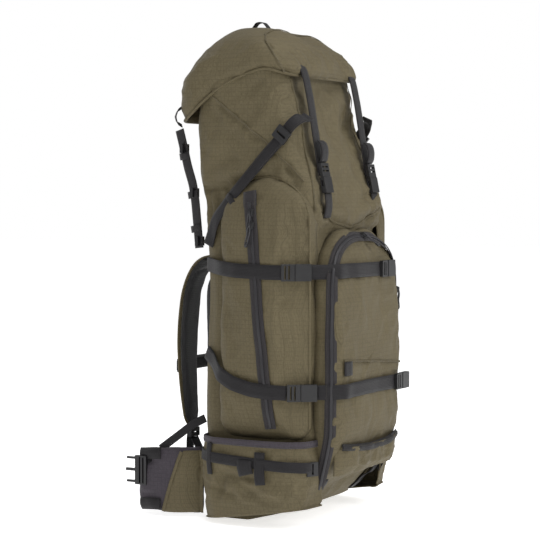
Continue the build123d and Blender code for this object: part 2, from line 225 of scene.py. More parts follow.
@dataclass(frozen=True)
class WovenFinish:
    """Coated woven nylon with a visible thread and a faint ripstop grid."""

    name: str
    dark: tuple[float, float, float]
    light: tuple[float, float, float]
    thread: float = 0.0017
    grid: float = 0.0074
    roughness: float = 0.72
    sheen: float = 0.02
    relief: float = 0.0005

    def make(self) -> bpy.types.Material:
        """Build the material."""
        sketch = NodeSketch(self.name)
        weave = sketch.math("MULTIPLY", sketch.wave(UPWARDS, self.thread), sketch.wave(SLANT, self.thread))
        ribs = [sketch.math("POWER", sketch.wave(way, self.grid), RIPSTOP_SHARPNESS) for way in (UPWARDS, SLANT)]
        grid = sketch.math("MAXIMUM", *ribs)
        cloud, speck = sketch.noise(9, 5), sketch.noise(300, 3)
        tone = sketch.weigh((cloud, 0.42), (speck, 0.55), (weave, 0.28), (grid, -0.14))
        sketch.bump(sketch.weigh((weave, 1.0), (grid, 0.6), (speck, 0.8)), 0.55, self.relief)
        return sketch.done(sketch.mix(tone, self.dark, self.light), {
            "Roughness": self.roughness, "Sheen Weight": self.sheen, "Sheen Roughness": 0.5,
            "Specular IOR Level": 0.35,
        })


@dataclass(frozen=True)
class RibbedFinish:
    """Nylon webbing or zip tape: ribs along the strip, on its own UV map in metres."""

    name: str
    dark: tuple[float, float, float]
    light: tuple[float, float, float]
    across: float = 0.0024
    along: float = 0.0016
    roughness: float = 0.62
    relief: float = 0.0005

    def make(self) -> bpy.types.Material:
        """Build the material."""
        sketch = NodeSketch(self.name)
        ribs = sketch.wave((1, 0, 0), self.across, uv=True)
        picks = sketch.wave((0.35, 1, 0), self.along, uv=True)
        weave = sketch.math("MULTIPLY", ribs, picks)
        fuzz = sketch.noise(260, 3)
        tone = sketch.weigh((weave, 0.55), (fuzz, 0.5))
        sketch.bump(sketch.weigh((weave, 1.0), (fuzz, 0.4)), 0.7, self.relief)
        return sketch.done(sketch.mix(tone, self.dark, self.light), {
            "Roughness": self.roughness, "Sheen Weight": 0.06, "Specular IOR Level": 0.3,
        })


@dataclass(frozen=True)
class SpacerMeshFinish:
    """Black spacer mesh: a field of small round holes over foam, with painted shade darkening each hole."""

    name: str
    dark: tuple[float, float, float]
    light: tuple[float, float, float]
    cell: float = 300.0

    def make(self) -> bpy.types.Material:
        """Build the material."""
        sketch = NodeSketch(self.name)
        cells = sketch.tree.nodes.new("ShaderNodeTexVoronoi")
        cells.inputs["Scale"].default_value = self.cell
        cells.inputs["Randomness"].default_value = 0.35
        sketch.link(sketch.coords.outputs["Object"], cells.inputs["Vector"])
        depth = cells.outputs["Distance"]
        # the colour darkens towards each cell's middle, where the bump is deepest: painted shade in the holes
        colour = sketch.mix(sketch.math("MULTIPLY", depth, 1.3), self.dark, self.light)
        sketch.bump(depth, 0.8, 0.0009)
        return sketch.done(colour, {"Roughness": 0.85, "Sheen Weight": 0.25})


@dataclass(frozen=True)
class MouldedFinish:
    """Moulded plastic or plain metal with a fine spark-eroded grain."""

    name: str
    colour: tuple[float, float, float]
    roughness: float = 0.42
    metallic: float = 0.0
    grain: float = 1600.0

    def make(self) -> bpy.types.Material:
        """Build the material."""
        sketch = NodeSketch(self.name)
        grain = sketch.noise(self.grain, 2)
        wear = sketch.noise(60, 4)
        lighter = tuple(min(1.0, channel * 1.5 + 0.004) for channel in self.colour)
        colour = sketch.mix(wear, self.colour, lighter)
        rough = sketch.math("ADD", sketch.math("MULTIPLY", wear, 0.2), self.roughness - 0.1)
        sketch.link(rough, sketch.shader.inputs["Roughness"])
        sketch.bump(grain, 0.25, 0.0002)
        return sketch.done(colour, {"Metallic": self.metallic})


@dataclass(frozen=True)
class BraidFinish:
    """Thin braided cord, with slanted threads on Object coordinates."""

    name: str
    dark: tuple[float, float, float]
    light: tuple[float, float, float]
    pitch: float = 0.0013

    def make(self) -> bpy.types.Material:
        """Build the material."""
        sketch = NodeSketch(self.name)
        braid = sketch.math("MAXIMUM", sketch.wave((1, 1, 1.2), self.pitch), sketch.wave((-1, -1, 1.2), self.pitch))
        sketch.bump(braid, 0.5, 0.0004)
        return sketch.done(sketch.mix(braid, self.dark, self.light), {"Roughness": 0.7})


@dataclass
class Wardrobe:
    """All finishes of the backpack, made once."""

    olive: WovenFinish = WovenFinish("olive_nylon", (0.05, 0.0385, 0.0175), (0.146, 0.12, 0.064))
    charcoal: WovenFinish = WovenFinish(
        "charcoal_stretch_knit", (0.017, 0.014, 0.018), (0.062, 0.05, 0.064), thread=0.0024, sheen=0.12
    )
    webbing: RibbedFinish = RibbedFinish("charcoal_webbing", (0.003, 0.0026, 0.003), (0.017, 0.0145, 0.017))
    tape: RibbedFinish = RibbedFinish("zip_tape", (0.009, 0.008, 0.009), (0.04, 0.034, 0.037), along=0.0011)
    mesh: SpacerMeshFinish = SpacerMeshFinish("spacer_mesh", (0.0015, 0.0015, 0.0017), (0.009, 0.0085, 0.0095))
    plastic: MouldedFinish = MouldedFinish("black_acetal", (0.005, 0.0047, 0.0054))
    coil: MouldedFinish = MouldedFinish("zip_coil", (0.007, 0.006, 0.008), roughness=0.5)
    sheet: MouldedFinish = MouldedFinish("frame_sheet", (0.03, 0.03, 0.032), roughness=0.5)
    metal: MouldedFinish = MouldedFinish("stay_bar", (0.62, 0.62, 0.64), roughness=0.34, metallic=1.0)
    thread: MouldedFinish = MouldedFinish("sewing_thread", (0.05, 0.042, 0.03), roughness=0.7)
    cord: BraidFinish = BraidFinish("braided_cord", (0.012, 0.012, 0.014), (0.05, 0.048, 0.052))
    made: dict[str, bpy.types.Material] = field(default_factory=dict)

    def get(self, name: str) -> bpy.types.Material:
        """Give a finish's material, made on first use.

        Args:
            name: The field's name.

        Returns:
            The material.
        """
        if name not in self.made:
            self.made[name] = getattr(self, name).make()
        return self.made[name]


# ------------------------------------------------------------------------------------------
# Modelling tools
# ------------------------------------------------------------------------------------------

Surface = Callable[[float, float], Vector]
Route = Sequence[tuple[float, float, float]]
Direction = Callable[[Vector, Vector], Vector]


def mm(x: float, y: float, z: float) -> Vector:
    """Point given in millimetres."""
    return Vector((x, y, z)) / 1000


def beside(sign: int, *points: tuple[float, float, float]) -> list[tuple[float, float, float]]:
    """Points given for the wearer's right, moved to the side that a sign stands for."""
    return [(sign * x, y, z) for x, y, z in points]


def ramp(table: Sequence[tuple[float, ...]], at: float, column: int = 1) -> float:
    """Read a table along straight lines.

    Args:
        table: Rows sorted by their first number.
        at: Where to read, on the first column.
        column: The column that is read.

    Returns:
        The value, held at the table's ends.
    """
    if at <= table[0][0]:
        return table[0][column]
    for low, high in zip(table, table[1:]):
        if at <= high[0]:
            share = (at - low[0]) / (high[0] - low[0])
            return low[column] + (high[column] - low[column]) * share
    return table[-1][column]


def soft_ramp(table: Sequence[tuple[float, ...]], at: float, column: int = 1, reach: float = 24.0) -> float:
    """Read a table with its corners rounded, as ramp() averaged over a window."""
    steps = (-1.0, -0.5, 0.0, 0.5, 1.0)
    return sum(ramp(table, at + reach * step, column) for step in steps) / len(steps)


def power_curve(angle: float, exponent: float) -> tuple[float, float]:
    """Point of a boxy circle.

    Args:
        angle: Angle in radians.
        exponent: 2 gives a circle, and more gives flatter sides.

    Returns:
        The two coordinates, between -1 and 1.
    """
    across, up = math.cos(angle), math.sin(angle)
    return (
        math.copysign(abs(across) ** (2 / exponent), across),
        math.copysign(abs(up) ** (2 / exponent), up),
    )


def rounded_rectangle(turn: float, half: float, low: float, high: float, radius: float) -> tuple[float, float]:
    """Point on a rounded rectangle, by its share of the way round.

    Args:
        turn: 0 to 1, from the middle of the high side towards -X.
        half: Half width.
        low: Lowest Y.
        high: Highest Y.
        radius: Corner radius.

    Returns:
        X and Y.
    """
    wide, deep, arc = half - radius, high - low - 2 * radius, math.pi * radius / 2
    walk = turn % 1.0 * (4 * wide + 2 * deep + 4 * arc)
    corners = (
        (wide, (0.0, high), (-1.0, 0.0)),
        (arc, (-wide, high - radius), 90.0),
        (deep, (-half, high - radius), (0.0, -1.0)),
        (arc, (-wide, low + radius), 180.0),
        (2 * wide, (-wide, low), (1.0, 0.0)),
        (arc, (wide, low + radius), 270.0),
        (deep, (half, low + radius), (0.0, 1.0)),
        (arc, (wide, high - radius), 0.0),
    )
    for length, start, way in corners:
        if walk <= length:
            if isinstance(way, tuple):
                return start[0] + way[0] * walk, start[1] + way[1] * walk
            angle = math.radians(way) + walk / radius
            return start[0] + radius * math.cos(angle), start[1] + radius * math.sin(angle)
        walk -= length
    return wide - walk, high


def resample(points: Sequence[Vector], step: float, rounds: int = 4) -> list[Vector]:
    """Even points along a route, with its corners eased.

    Args:
        points: The route.
        step: Spacing in metres.
        rounds: Passes of easing.

    Returns:
        The points.
    """
    lengths = [(b - a).length for a, b in zip(points, points[1:])]
    count = max(3, round(sum(lengths) / step) + 1)
    made = []
    for index in range(count):
        walk = sum(lengths) * index / (count - 1)
        for (a, b), length in zip(zip(points, points[1:]), lengths):
            if walk <= length + 1e-9:
                made.append(a.lerp(b, min(1.0, walk / length)))
                break
            walk -= length
        else:
            made.append(points[-1].copy())
    for _ in range(rounds):
        made = [made[0]] + [(a + 2 * b + c) / 4 for a, b, c in zip(made, made[1:], made[2:])] + [made[-1]]
    return made


def mapped_grid(surface: Surface, across: int, along: int, weld: bool = True) -> bmesh.types.BMesh:
    """Bend a grid onto a surface.

    Args:
        surface: Gives a point for two numbers between 0 and 1.
        across: Faces in the first direction.
        along: Faces in the second direction.
        weld: Whether meeting edges and poles are merged.

    Returns:
        The mesh, with the two numbers as its UV map.
    """
    bm = bmesh.new()
    layer = bm.loops.layers.uv.new("UVMap")
    bmesh.ops.create_grid(bm, x_segments=across, y_segments=along, size=0.5)
    for face in bm.faces:
        for loop in face.loops:
            loop[layer].uv = (loop.vert.co.x + 0.5, loop.vert.co.y + 0.5)
    for vert in bm.verts:
        vert.co = surface(vert.co.x + 0.5, vert.co.y + 0.5)
    if weld:
        bmesh.ops.remove_doubles(bm, verts=bm.verts, dist=2e-5)
        bmesh.ops.dissolve_degenerate(bm, edges=bm.edges, dist=1e-6)
    bm.normal_update()
    return bm


def close_up(bm: bmesh.types.BMesh) -> bmesh.types.BMesh:
    """Fill the open ends of a swept shape and turn its faces out."""
    bmesh.ops.holes_fill(bm, edges=[edge for edge in bm.edges if edge.is_boundary], sides=0)
    bmesh.ops.recalc_face_normals(bm, faces=bm.faces)
    return bm


def face_away(bm: bmesh.types.BMesh, centre: Vector) -> None:
    """Turn a consistent mesh so that its faces look away from a point."""
    bmesh.ops.recalc_face_normals(bm, faces=bm.faces)
    lean = sum(face.normal.dot(face.calc_center_median() - centre) * face.calc_area() for face in bm.faces)
    if lean < 0:
        bmesh.ops.reverse_faces(bm, faces=bm.faces)
    bm.normal_update()


@dataclass(frozen=True)
class Fold:
    """One ridge or crease over a panel, in millimetres; a negative height is a crease."""

    start: tuple[float, float, float]
    end: tuple[float, float, float]
    height: float
    width: float


@dataclass(frozen=True)
class Crumple:
    """Random dents of a slack panel, inside a box with soft edges, in millimetres."""

    depth: float
    pitch: tuple[float, float, float]
    low: tuple[float, float, float] = (-999.0, -999.0, -999.0)
    high: tuple[float, float, float] = (999.0, 999.0, 999.0)
    edge: float = 25.0
    seed: float = 0.0
    ridged: bool = False

    def at(self, point: Vector) -> float:
        """Height of the dents at a point, both in millimetres."""
        mask = 1.0
        for value, low, high in zip(point, self.low, self.high):
            inside = min(value - low, high - value)
            if inside <= 0:
                return 0.0
            mask *= min(1.0, inside / self.edge)
        place = Vector(value / pitch for value, pitch in zip(point, self.pitch))
        place += Vector((self.seed, 0, -self.seed))
        value = noise.noise(place)
        if self.ridged:
            value = 0.45 - abs(value) * 1.7
        return self.depth * mask * value


Mark = Union[Fold, Crumple]


@dataclass
class LaidFold:
    """A fold whose line lies on the fabric, whatever the fabric's curve."""

    fold: Fold
    line: list[Vector]
    spacing: ClassVar[float] = 14.0
    fade: ClassVar[float] = 2.6
    end_share: ClassVar[float] = 0.15

    @classmethod
    def on(cls, fold: Fold, tree: BVHTree) -> "LaidFold":
        """Lay a fold's line on a fabric.

        Args:
            fold: The fold, in millimetres.
            tree: The fabric, in metres.

        Returns:
            The laid fold.
        """
        start, end = Vector(fold.start), Vector(fold.end)
        steps = max(1, round((end - start).length / cls.spacing))
        points = [start.lerp(end, k / steps) / 1000 for k in range(steps + 1)]
        return cls(fold, [tree.find_nearest(point)[0] * 1000 for point in points])

    def at(self, point: Vector) -> float:
        """Height of the fold at a point.

        Args:
            point: The point, in millimetres.

        Returns:
            The height, in millimetres.
        """
        reach = self.fade * self.fold.width
        middle = (self.line[0] + self.line[-1]) / 2
        if (point - middle).length > reach + 0.65 * (self.line[0] - self.line[-1]).length + 12:
            return 0.0
        best, place, last = reach, 0.0, len(self.line) - 1
        for k, (first, second) in enumerate(zip(self.line, self.line[1:])):
            along = second - first
            share = max(0.0, min(1.0, (point - first).dot(along) / max(along.length_squared, 1e-9)))
            away = (point - first - along * share).length
            if away < best:
                best, place = away, (k + share) / last
        if best >= reach:
            return 0.0
        taper = min(1.0, self.end_share + 5 * place, self.end_share + 5 * (1 - place))
        return self.fold.height * taper * math.exp(-((best / self.fold.width) ** 2))


def crease(bm: bmesh.types.BMesh, marks: Sequence[Mark]) -> None:
    """Move every point along its normal by the sum of folds and dents.

    Args:
        bm: The mesh.
        marks: Folds and dents.
    """
    bm.normal_update()
    tree = BVHTree.FromBMesh(bm)
    marks = [LaidFold.on(mark, tree) if isinstance(mark, Fold) else mark for mark in marks]
    moves = [vert.normal * (sum(mark.at(vert.co * 1000) for mark in marks) / 1000) for vert in bm.verts]
    for vert, move in zip(bm.verts, moves):
        vert.co += move
    bm.normal_update()


def mirrored(marks: Sequence[Mark]) -> list[Mark]:
    """The same folds on the other side of the pack; dents stay as they are."""
    return [
        replace(mark, start=beside(-1, mark.start)[0], end=beside(-1, mark.end)[0]) if isinstance(mark, Fold) else mark
        for mark in marks
    ]


class Drape:
    """Finished fabric that webbing, tape and stitches lie on."""

    def __init__(self) -> None:
        """Start with no fabric."""
        self.trees: dict[str, BVHTree] = {}

    def add(self, name: str, bm: bmesh.types.BMesh) -> None:
        """Keep a fabric's surface under its piece's name."""
        self.trees[name] = BVHTree.FromBMesh(bm)

    def lift(self, point: Vector, out: Vector, names: Sequence[str], reach: float = 0.06) -> Optional[float]:
        """How far out of a point the outermost fabric lies.

        Args:
            point: The point.
            out: Outward unit vector.
            names: Fabrics that count, or none for all.
            reach: Largest distance looked at, in metres.

        Returns:
            The distance along the vector, or None.
        """
        best = None
        for name, tree in self.trees.items():
            if names and name not in names:
                continue
            hit, _, _, distance = tree.ray_cast(point + out * reach, -out, 2 * reach)
            if hit is not None:
                value = reach - distance
                best = value if best is None else max(best, value)
        return best


def facing(x: float, y: float, z: float = 0.0) -> Direction:
    """Outward direction that is the same all along."""
    fixed = Vector((x, y, z)).normalized()
    return lambda point, tangent: fixed


def round_the_bag(point: Vector, tangent: Vector) -> Vector:
    """Outward direction of a level strap round the bag."""
    out = tangent.cross(UP)
    away = Vector((point.x, point.y - 0.005, 0))
    return out.normalized() if out.dot(away) > 0 else -out.normalized()


@dataclass
class Ribbon:
    """Flat strip along a route: webbing, tape, hem or binding, in millimetres."""

    route: Route
    width: float
    out: Direction
    thickness: float = 1.6
    on: Optional[Drape] = None
    names: Sequence[str] = ()
    clearance: float = 0.5
    bridge: int = 4
    crown: float = 0.0
    rounds: int = 4
    step: float = 4.0
    reach: float = 60.0

    def build(self) -> tuple[bmesh.types.BMesh, list[tuple[Vector, Vector, Vector]]]:
        """Make the strip, with its outer side facing out and a UV map in metres.

        Returns:
            The mesh and its middle line, as point, outward and sideways vectors.
        """
        points = resample([mm(*p) for p in self.route], self.step / 1000, self.rounds)
        frames = []
        for index, point in enumerate(points):
            tangent = (points[min(index + 1, len(points) - 1)] - points[max(index - 1, 0)]).normalized()
            out = self.out(point, tangent)
            out = (out - tangent * out.dot(tangent)).normalized()
            frames.append([point, out, tangent.cross(out)])
        offsets = [-0.5, -0.25, 0.0, 0.25, 0.5]
        heights = [[0.0] * len(offsets) for _ in frames]
        if self.on is not None:
            for row, (point, out, side) in zip(heights, frames):
                for index, share in enumerate(offsets):
                    place = point + side * (share * self.width / 1000)
                    found = self.on.lift(place, out, self.names, self.reach / 1000)
                    row[index] = math.nan if found is None else found + self.clearance / 1000
            heights = self._settle(heights)
        length = sum((b - a).length for a, b in zip(points, points[1:]))
        last = len(frames) - 1

        def surface(across: float, along: float) -> Vector:
            """Point of the strip."""
            row = round(along * last)
            point, out, side = frames[row]
            column = round(across * 4)
            bulge = self.crown / 1000 * (1 - (2 * across - 1) ** 2)
            return point + side * ((across - 0.5) * self.width / 1000) + out * (heights[row][column] + bulge)

        bm = mapped_grid(surface, 4, last, weld=False)
        layer = bm.loops.layers.uv.verify()
        for face in bm.faces:
            for loop in face.loops:
                loop[layer].uv.x *= self.width / 1000
                loop[layer].uv.y *= length
        middle = frames[last // 2]
        tangent = middle[2].cross(middle[1])
        if sum(face.normal.dot(self.out(face.calc_center_median(), tangent)) for face in bm.faces) < 0:
            bmesh.ops.reverse_faces(bm, faces=bm.faces)
        line = [
            (point + out * (row[2] + (self.thickness + self.crown) / 1000), out, side)
            for (point, out, side), row in zip(frames, heights)
        ]
        return bm, line

    def _settle(self, heights: list[list[float]]) -> list[list[float]]:
        """Bridge the hollows and even out the heights.

        Args:
            heights: Rows of raw heights, with nan where nothing lies under the strip.

        Returns:
            The settled rows.
        """
        known = [value for row in heights for value in row if not math.isnan(value)]
        spare = min(known) if known else 0.0
        rows = []
        for index, row in enumerate(heights):
            near = heights[max(0, index - self.bridge):index + self.bridge + 1]
            tops = [max((r[k] for r in near if not math.isnan(r[k])), default=spare) for k in range(len(row))]
            rows.append(tops)
        for _ in range(self.bridge + 1):
            rows = [
                [(a[k] + 2 * b[k] + c[k]) / 4 for k in range(len(b))]
                for a, b, c in zip([rows[0]] + rows[:-1], rows, rows[1:] + [rows[-1]])
            ]
        return [[0.35 * value + 0.65 * sum(row) / len(row) for value in row] for row in rows]


TUBE_SIDES = 10


def tube_along(points: Sequence[Vector], radius: float, closed: bool = False) -> bmesh.types.BMesh:
    """Round cord or piping along points.

    Args:
        points: The middle line.
        radius: Radius in metres.
        closed: Whether it joins up with itself.

    Returns:
        The mesh.
    """
    last = len(points) - (0 if closed else 1)

    def surface(round_share: float, along: float) -> Vector:
        """Point of the tube."""
        index = round(along * last)
        here = points[index % len(points)]
        if closed:
            tangent = (points[(index + 1) % len(points)] - points[index - 1]).normalized()
        else:
            tangent = (points[min(index + 1, last)] - points[max(index - 1, 0)]).normalized()
        side = tangent.cross(UP if abs(tangent.z) < 0.9 else Vector((0, 1, 0))).normalized()
        angle = 2 * math.pi * round_share
        size = radius
        if not closed and index in (0, last):
            size = radius * 0.35
        return here + (side * math.cos(angle) + tangent.cross(side) * math.sin(angle)) * size

    return close_up(mapped_grid(surface, TUBE_SIDES, last))


@dataclass
class Dome:
    """Puffed panel over an outline: a lid, pocket, pad or patch, in millimetres."""

    outline: Callable[[float], Vector]
    middle: Vector
    rise: Callable[[Vector, float], Vector]
    exponent: float
    across: int = 180
    along: int = 56

    def build(self) -> bmesh.types.BMesh:
        """Make the panel, from its rim to its middle."""

        def surface(turn: float, up: float) -> Vector:
            """Point of the panel."""
            share, height = power_curve(math.pi / 2 * up, self.exponent)
            if up > 0.9999:
                share = 0.0
            flat = self.middle.lerp(self.outline(turn % 1.0), share)
            return self.rise(flat, height) / 1000

        return mapped_grid(surface, self.across, self.along)


STITCH_SIZE = (0.0023, 0.0006, 0.0006, 1)
STITCH_PITCH = 0.0034


class Bench:
    """Turns meshes into dressed pieces of the frame."""

    def __init__(self, wardrobe: Wardrobe) -> None:
        """Keep the finishes."""
        self.wardrobe = wardrobe
        self.drape = Drape()

    def finish(
        self,
        bm: bmesh.types.BMesh,
        name: str,
        finish: str,
        body: Optional[str],
        stands_for: Sequence[str] = (),
        thickness: float = 0.0,
        outward: bool = False,
        subdivide: int = 0,
    ) -> bpy.types.Object:
        """body: The body it rides on, or None to leave it unattached.
            thickness: Wall thickness in millimetres, or 0 for none.
            outward: Whether the wall grows outwards.
            subdivide: Levels of smoothing.

        Returns:
            The object.
        """
        mesh = bpy.data.meshes.new(name)
        bm.to_mesh(mesh)
        bm.free()
        mesh.shade_smooth()
        piece = bpy.data.objects.new(name, mesh)
        bpy.context.scene.collection.objects.link(piece)
        mesh.materials.append(self.wardrobe.get(finish))
        if thickness:
            wall = piece.modifiers.new("wall", "SOLIDIFY")
            wall.thickness = thickness / 1000
            wall.offset = 1.0 if outward else -1.0
            wall.use_rim = True
        if subdivide:
            smooth = piece.modifiers.new("smooth", "SUBSURF")
            smooth.levels = smooth.render_levels = subdivide
        if body is not None:
            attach(piece, body)
        if stands_for:
            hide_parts(*stands_for)
        log.info("%s: %d faces", name, len(mesh.polygons))
        return piece

    def ribbon(
        self, ribbon: Ribbon, name: str, finish: str, body: Optional[str], stands_for: Sequence[str] = (),
        stitch: bool = False,
    ) -> bpy.types.Object:
        """Make a ribbon's piece, and stitches along its edges where asked.

        Args:
            ribbon: The strip.
            name: The piece's name.
            finish: The finish's name.
            body: The body it rides on, or None.
            stands_for: CAD nodes it stands for.
            stitch: Whether two rows of stitches are added.

        Returns:
            The strip's object.
        """
        bm, line = ribbon.build()
        if stitch:
            rows = [
                [(point + side * (sign * (ribbon.width / 2 - 2) / 1000), out) for point, out, side in line]
                for sign in (-1, 1)
            ]
            self.stitches(rows, name + "_stitches", body)
        return self.finish(bm, name, finish, body, stands_for, thickness=ribbon.thickness, outward=True)

    def seam(
        self, route: Route, out: Direction, name: str, fabric: str, body: str = "pack", width: float = 3.0,
        thickness: float = 0.6, clearance: float = 0.1, crown: float = 0.6,
    ) -> bpy.types.Object:
        """Sew a narrow bound seam onto a fabric.

        Args:
            route: The seam's line.
            out: Outward direction.
            name: The piece's name.
            fabric: The fabric it lies on.
            body: The body it rides on.
            width: Width in millimetres.
            thickness: Thickness in millimetres.
            clearance: Gap to the fabric in millimetres.
            crown: Height of its rounded middle in millimetres.

        Returns:
            The seam's object.
        """
        strip = Ribbon(route, width, out, thickness, self.drape, (fabric,), clearance, bridge=1, crown=crown)
        return self.ribbon(strip, name, "olive", body, stitch=True)

    def stitches(
        self, rows: Sequence[Sequence[tuple[Vector, Vector]]], name: str, body: Optional[str]
    ) -> Optional[bpy.types.Object]:
        """Sew rows of thread.

        Args:
            rows: Lines of points and outward vectors.
            name: The piece's name.
            body: The body it rides on, or None.

        Returns:
            The object.
        """
        bm = bmesh.new()
        for row in rows:
            spare = 0.0
            for (here, out), (there, _) in zip(row, row[1:]):
                run = there - here
                length = run.length
                while spare < length and length > 1e-6:
                    way = run.normalized()
                    side = way.cross(out).normalized()
                    turn = Matrix((way, side, way.cross(side))).transposed().to_4x4()
                    place = Matrix.Translation(here + way * spare) @ turn @ Matrix.Diagonal(STITCH_SIZE)
                    bmesh.ops.create_icosphere(bm, subdivisions=1, radius=0.5, matrix=place)
                    spare += STITCH_PITCH
                spare -= length
        if not bm.verts:
            bm.free()
            return None
        return self.finish(bm, name, "thread", body)


# ------------------------------------------------------------------------------------------
# Bag body and lid
# ------------------------------------------------------------------------------------------


@dataclass
class BagBody:
    """Tall sagging bag: base, front, sides and back in one lofted shell, and its gathered collar."""

    bench: Bench
    sections: tuple[tuple[float, ...], ...] = (
        (0, -45, 106, 138), (22, -78, 110, 146), (55, -96, 113, 150), (150, -104, 115, 152),
        (480, -100, 111, 152), (585, -88, 124, 152), (700, -62, 141, 150), (790, -40, 121, 148),
    )
    corner: float = 34.0
    top: float = 792.0
    wall: float = 3.0
    foot: tuple[float, ...] = (138, -45, 106, 30)
    keel_y: float = 30.0
    base_rise: float = 0.26
    overhang: tuple[tuple[float, float], ...] = ((505, -3), (522, 7), (548, 10), (620, 0), (700, -4), (760, -2))

    def ring(self, height: float) -> tuple[float, float, float]:
        """Front Y, back Y and half width at a height."""
        return tuple(soft_ramp(self.sections, height, column) for column in (1, 2, 3))

    def folds(self) -> list[Mark]:
        """Folds and slack of the fabric, left side and right side."""
        side = [
            Fold((-152, 128, 580), (-152, 52, 588), -7.5, 6), Fold((-152, 52, 588), (-152, -14, 602), -6.0, 6),
            Fold((-152, 124, 604), (-152, 40, 612), 5.5, 15), Fold((-152, 40, 614), (-152, -30, 622), 5.0, 15),
            Fold((-152, 116, 578), (-152, 112, 530), 3.8, 5), Fold((-152, 104, 580), (-152, 100, 524), -4.2, 4),
            Fold((-152, 94, 582), (-152, 88, 530), 4.0, 5), Fold((-152, 82, 582), (-152, 78, 536), -3.8, 4),
            Fold((-152, 70, 584), (-152, 66, 556), 3.4, 5), Fold((-152, 58, 586), (-152, 56, 566), -3.2, 4),
            Fold((-152, -52, 622), (-150, -84, 572), -3.6, 4), Fold((-152, -62, 636), (-150, -92, 590), 3.4, 5),
            Fold((-152, -40, 612), (-150, -76, 560), 3.0, 4), Fold((-148, -100, 540), (-148, -102, 190), -5.5, 6),
            Fold((-152, 60, 612), (-152, -20, 606), 3.0, 8), Fold((-152, 90, 622), (-152, 20, 640), -2.6, 9),
            Fold((-152, -30, 612), (-150, -92, 560), 3.4, 8), Fold((-152, -45, 628), (-150, -90, 590), -2.6, 7),
            Fold((-152, 110, 520), (-152, 84, 470), 3.0, 8), Fold((-152, 92, 640), (-152, 60, 720), 2.4, 14),
            Fold((-152, 40, 690), (-152, -20, 740), -2.6, 13), Fold((-152, -30, 700), (-150, -60, 640), 2.8, 12),
            Fold((-152, 98, 748), (-152, -10, 669), 2.2, 7), Fold((-152, -10, 669), (-150, -86, 596), 2.2, 7),
            Fold((-152, 94, 738), (-152, -13, 659), -2.6, 3), Fold((-152, -13, 659), (-150, -90, 585), -2.6, 3),
            Fold((-126, -56, 772), (-130, -84, 650), -2.6, 4), Fold((-130, -84, 650), (-134, -104, 545), -2.6, 4),
            Fold((-152, 104, 430), (-152, 98, 300), -2.4, 9), Fold((-152, 100, 290), (-152, 92, 180), 2.2, 12),
        ]
        front = [
            Fold((-118, -96, 548), (-56, -104, 522), -5.0, 5), Fold((-56, -104, 522), (0, -106, 512), -5.0, 5),
            Fold((0, -106, 512), (56, -104, 522), -5.0, 5), Fold((56, -104, 522), (118, -96, 548), -5.0, 5),
            Fold((-96, -104, 566), (-20, -106, 556), -6.0, 8), Fold((-100, -104, 548), (-10, -106, 534), 5.5, 9),
            Fold((20, -106, 560), (96, -104, 572), -5.4, 8), Fold((10, -106, 536), (100, -104, 552), 5.0, 9),
            Fold((-128, -84, 575), (-112, -94, 525), 4.0, 7), Fold((-100, -86, 600), (-88, -96, 530), -4.2, 8),
            Fold((62, -86, 590), (74, -96, 530), -4.2, 8), Fold((112, -84, 585), (104, -92, 530), 3.6, 8),
            Fold((-60, -58, 742), (-30, -78, 650), 4.2, 12), Fold((-30, -52, 750), (10, -74, 660), -3.8, 10),
            Fold((40, -52, 750), (24, -76, 660), 4.2, 11), Fold((80, -56, 740), (60, -80, 640), -3.4, 10),
            Fold((-120, -62, 720), (-112, -84, 620), 3.4, 9), Fold((122, -64, 720), (112, -84, 620), -3.2, 9),
            Fold((-40, -84, 620), (40, -86, 612), 3.0, 14), Fold((-80, -86, 590), (-20, -90, 575), -3.0, 10),
        ]
        slack = [
            Crumple(10, (76, 66, 66), low=(-999, -999, 470), high=(999, 135, 786), seed=4.0),
            Crumple(4.4, (34, 30, 28), low=(-999, -999, 490), high=(999, 135, 780), seed=9.0, ridged=True),
            Crumple(5, (80, 70, 120), low=(-999, -999, 20), high=(999, 999, 500), seed=2.0),
            Crumple(2.6, (40, 30, 26), low=(-999, -999, 14), high=(999, 999, 180), seed=7.0, ridged=True),
        ]
        return side + mirrored(side) + front + slack

    def build(self) -> None:
        """Build the shell and the collar."""
        base_share = 0.1

        def surface(turn: float, up: float) -> Vector:
            """Point of the bag: out over the base, then up the walls."""
            if up < base_share:
                share = up / base_share
                x, y = rounded_rectangle(turn, *self.foot)
                y = self.keel_y + (y - self.keel_y) * share
                return mm(x * share, y, 0.4 + 3 * share ** 6 + max(0.0, self.keel_y - y) * self.base_rise)
            height = (up - base_share) / (1 - base_share) * self.top
            front, back, half = self.ring(height)
            tuck = 11 * max(0.0, 1 - height / 20) ** 2
            front -= ramp(self.overhang, height)
            corner = self.corner + ramp(((480, 0), (600, 6), (790, 8)), height)
            x, y = rounded_rectangle(turn, half - tuck, front + tuck, back - tuck, corner)
            lifted = max(0.0, self.keel_y - y) * self.base_rise * max(0.0, 1 - height / 170) ** 1.5
            return mm(x, y, 3.4 + height * (self.top - 3.4) / self.top + lifted)

        bm = mapped_grid(surface, 250, 210)
        face_away(bm, mm(0, 10, 380))
        crease(bm, self.folds())
        for vert in bm.verts:
            vert.co.z = max(vert.co.z, 0.0002)
            vert.co.y = min(vert.co.y, 0.146)
        self.bench.drape.add("bag", bm)
        self.bench.finish(
            bm, "bag_body", "olive", "pack", ("front_panel", "back_panel", "side_panel_left", "side_panel_right",
                                              "base_panel"), thickness=self.wall,
        )
        self._collar()
        self._seams()

    def _collar(self) -> None:
        """Gathered sleeve that closes the bag under the lid."""

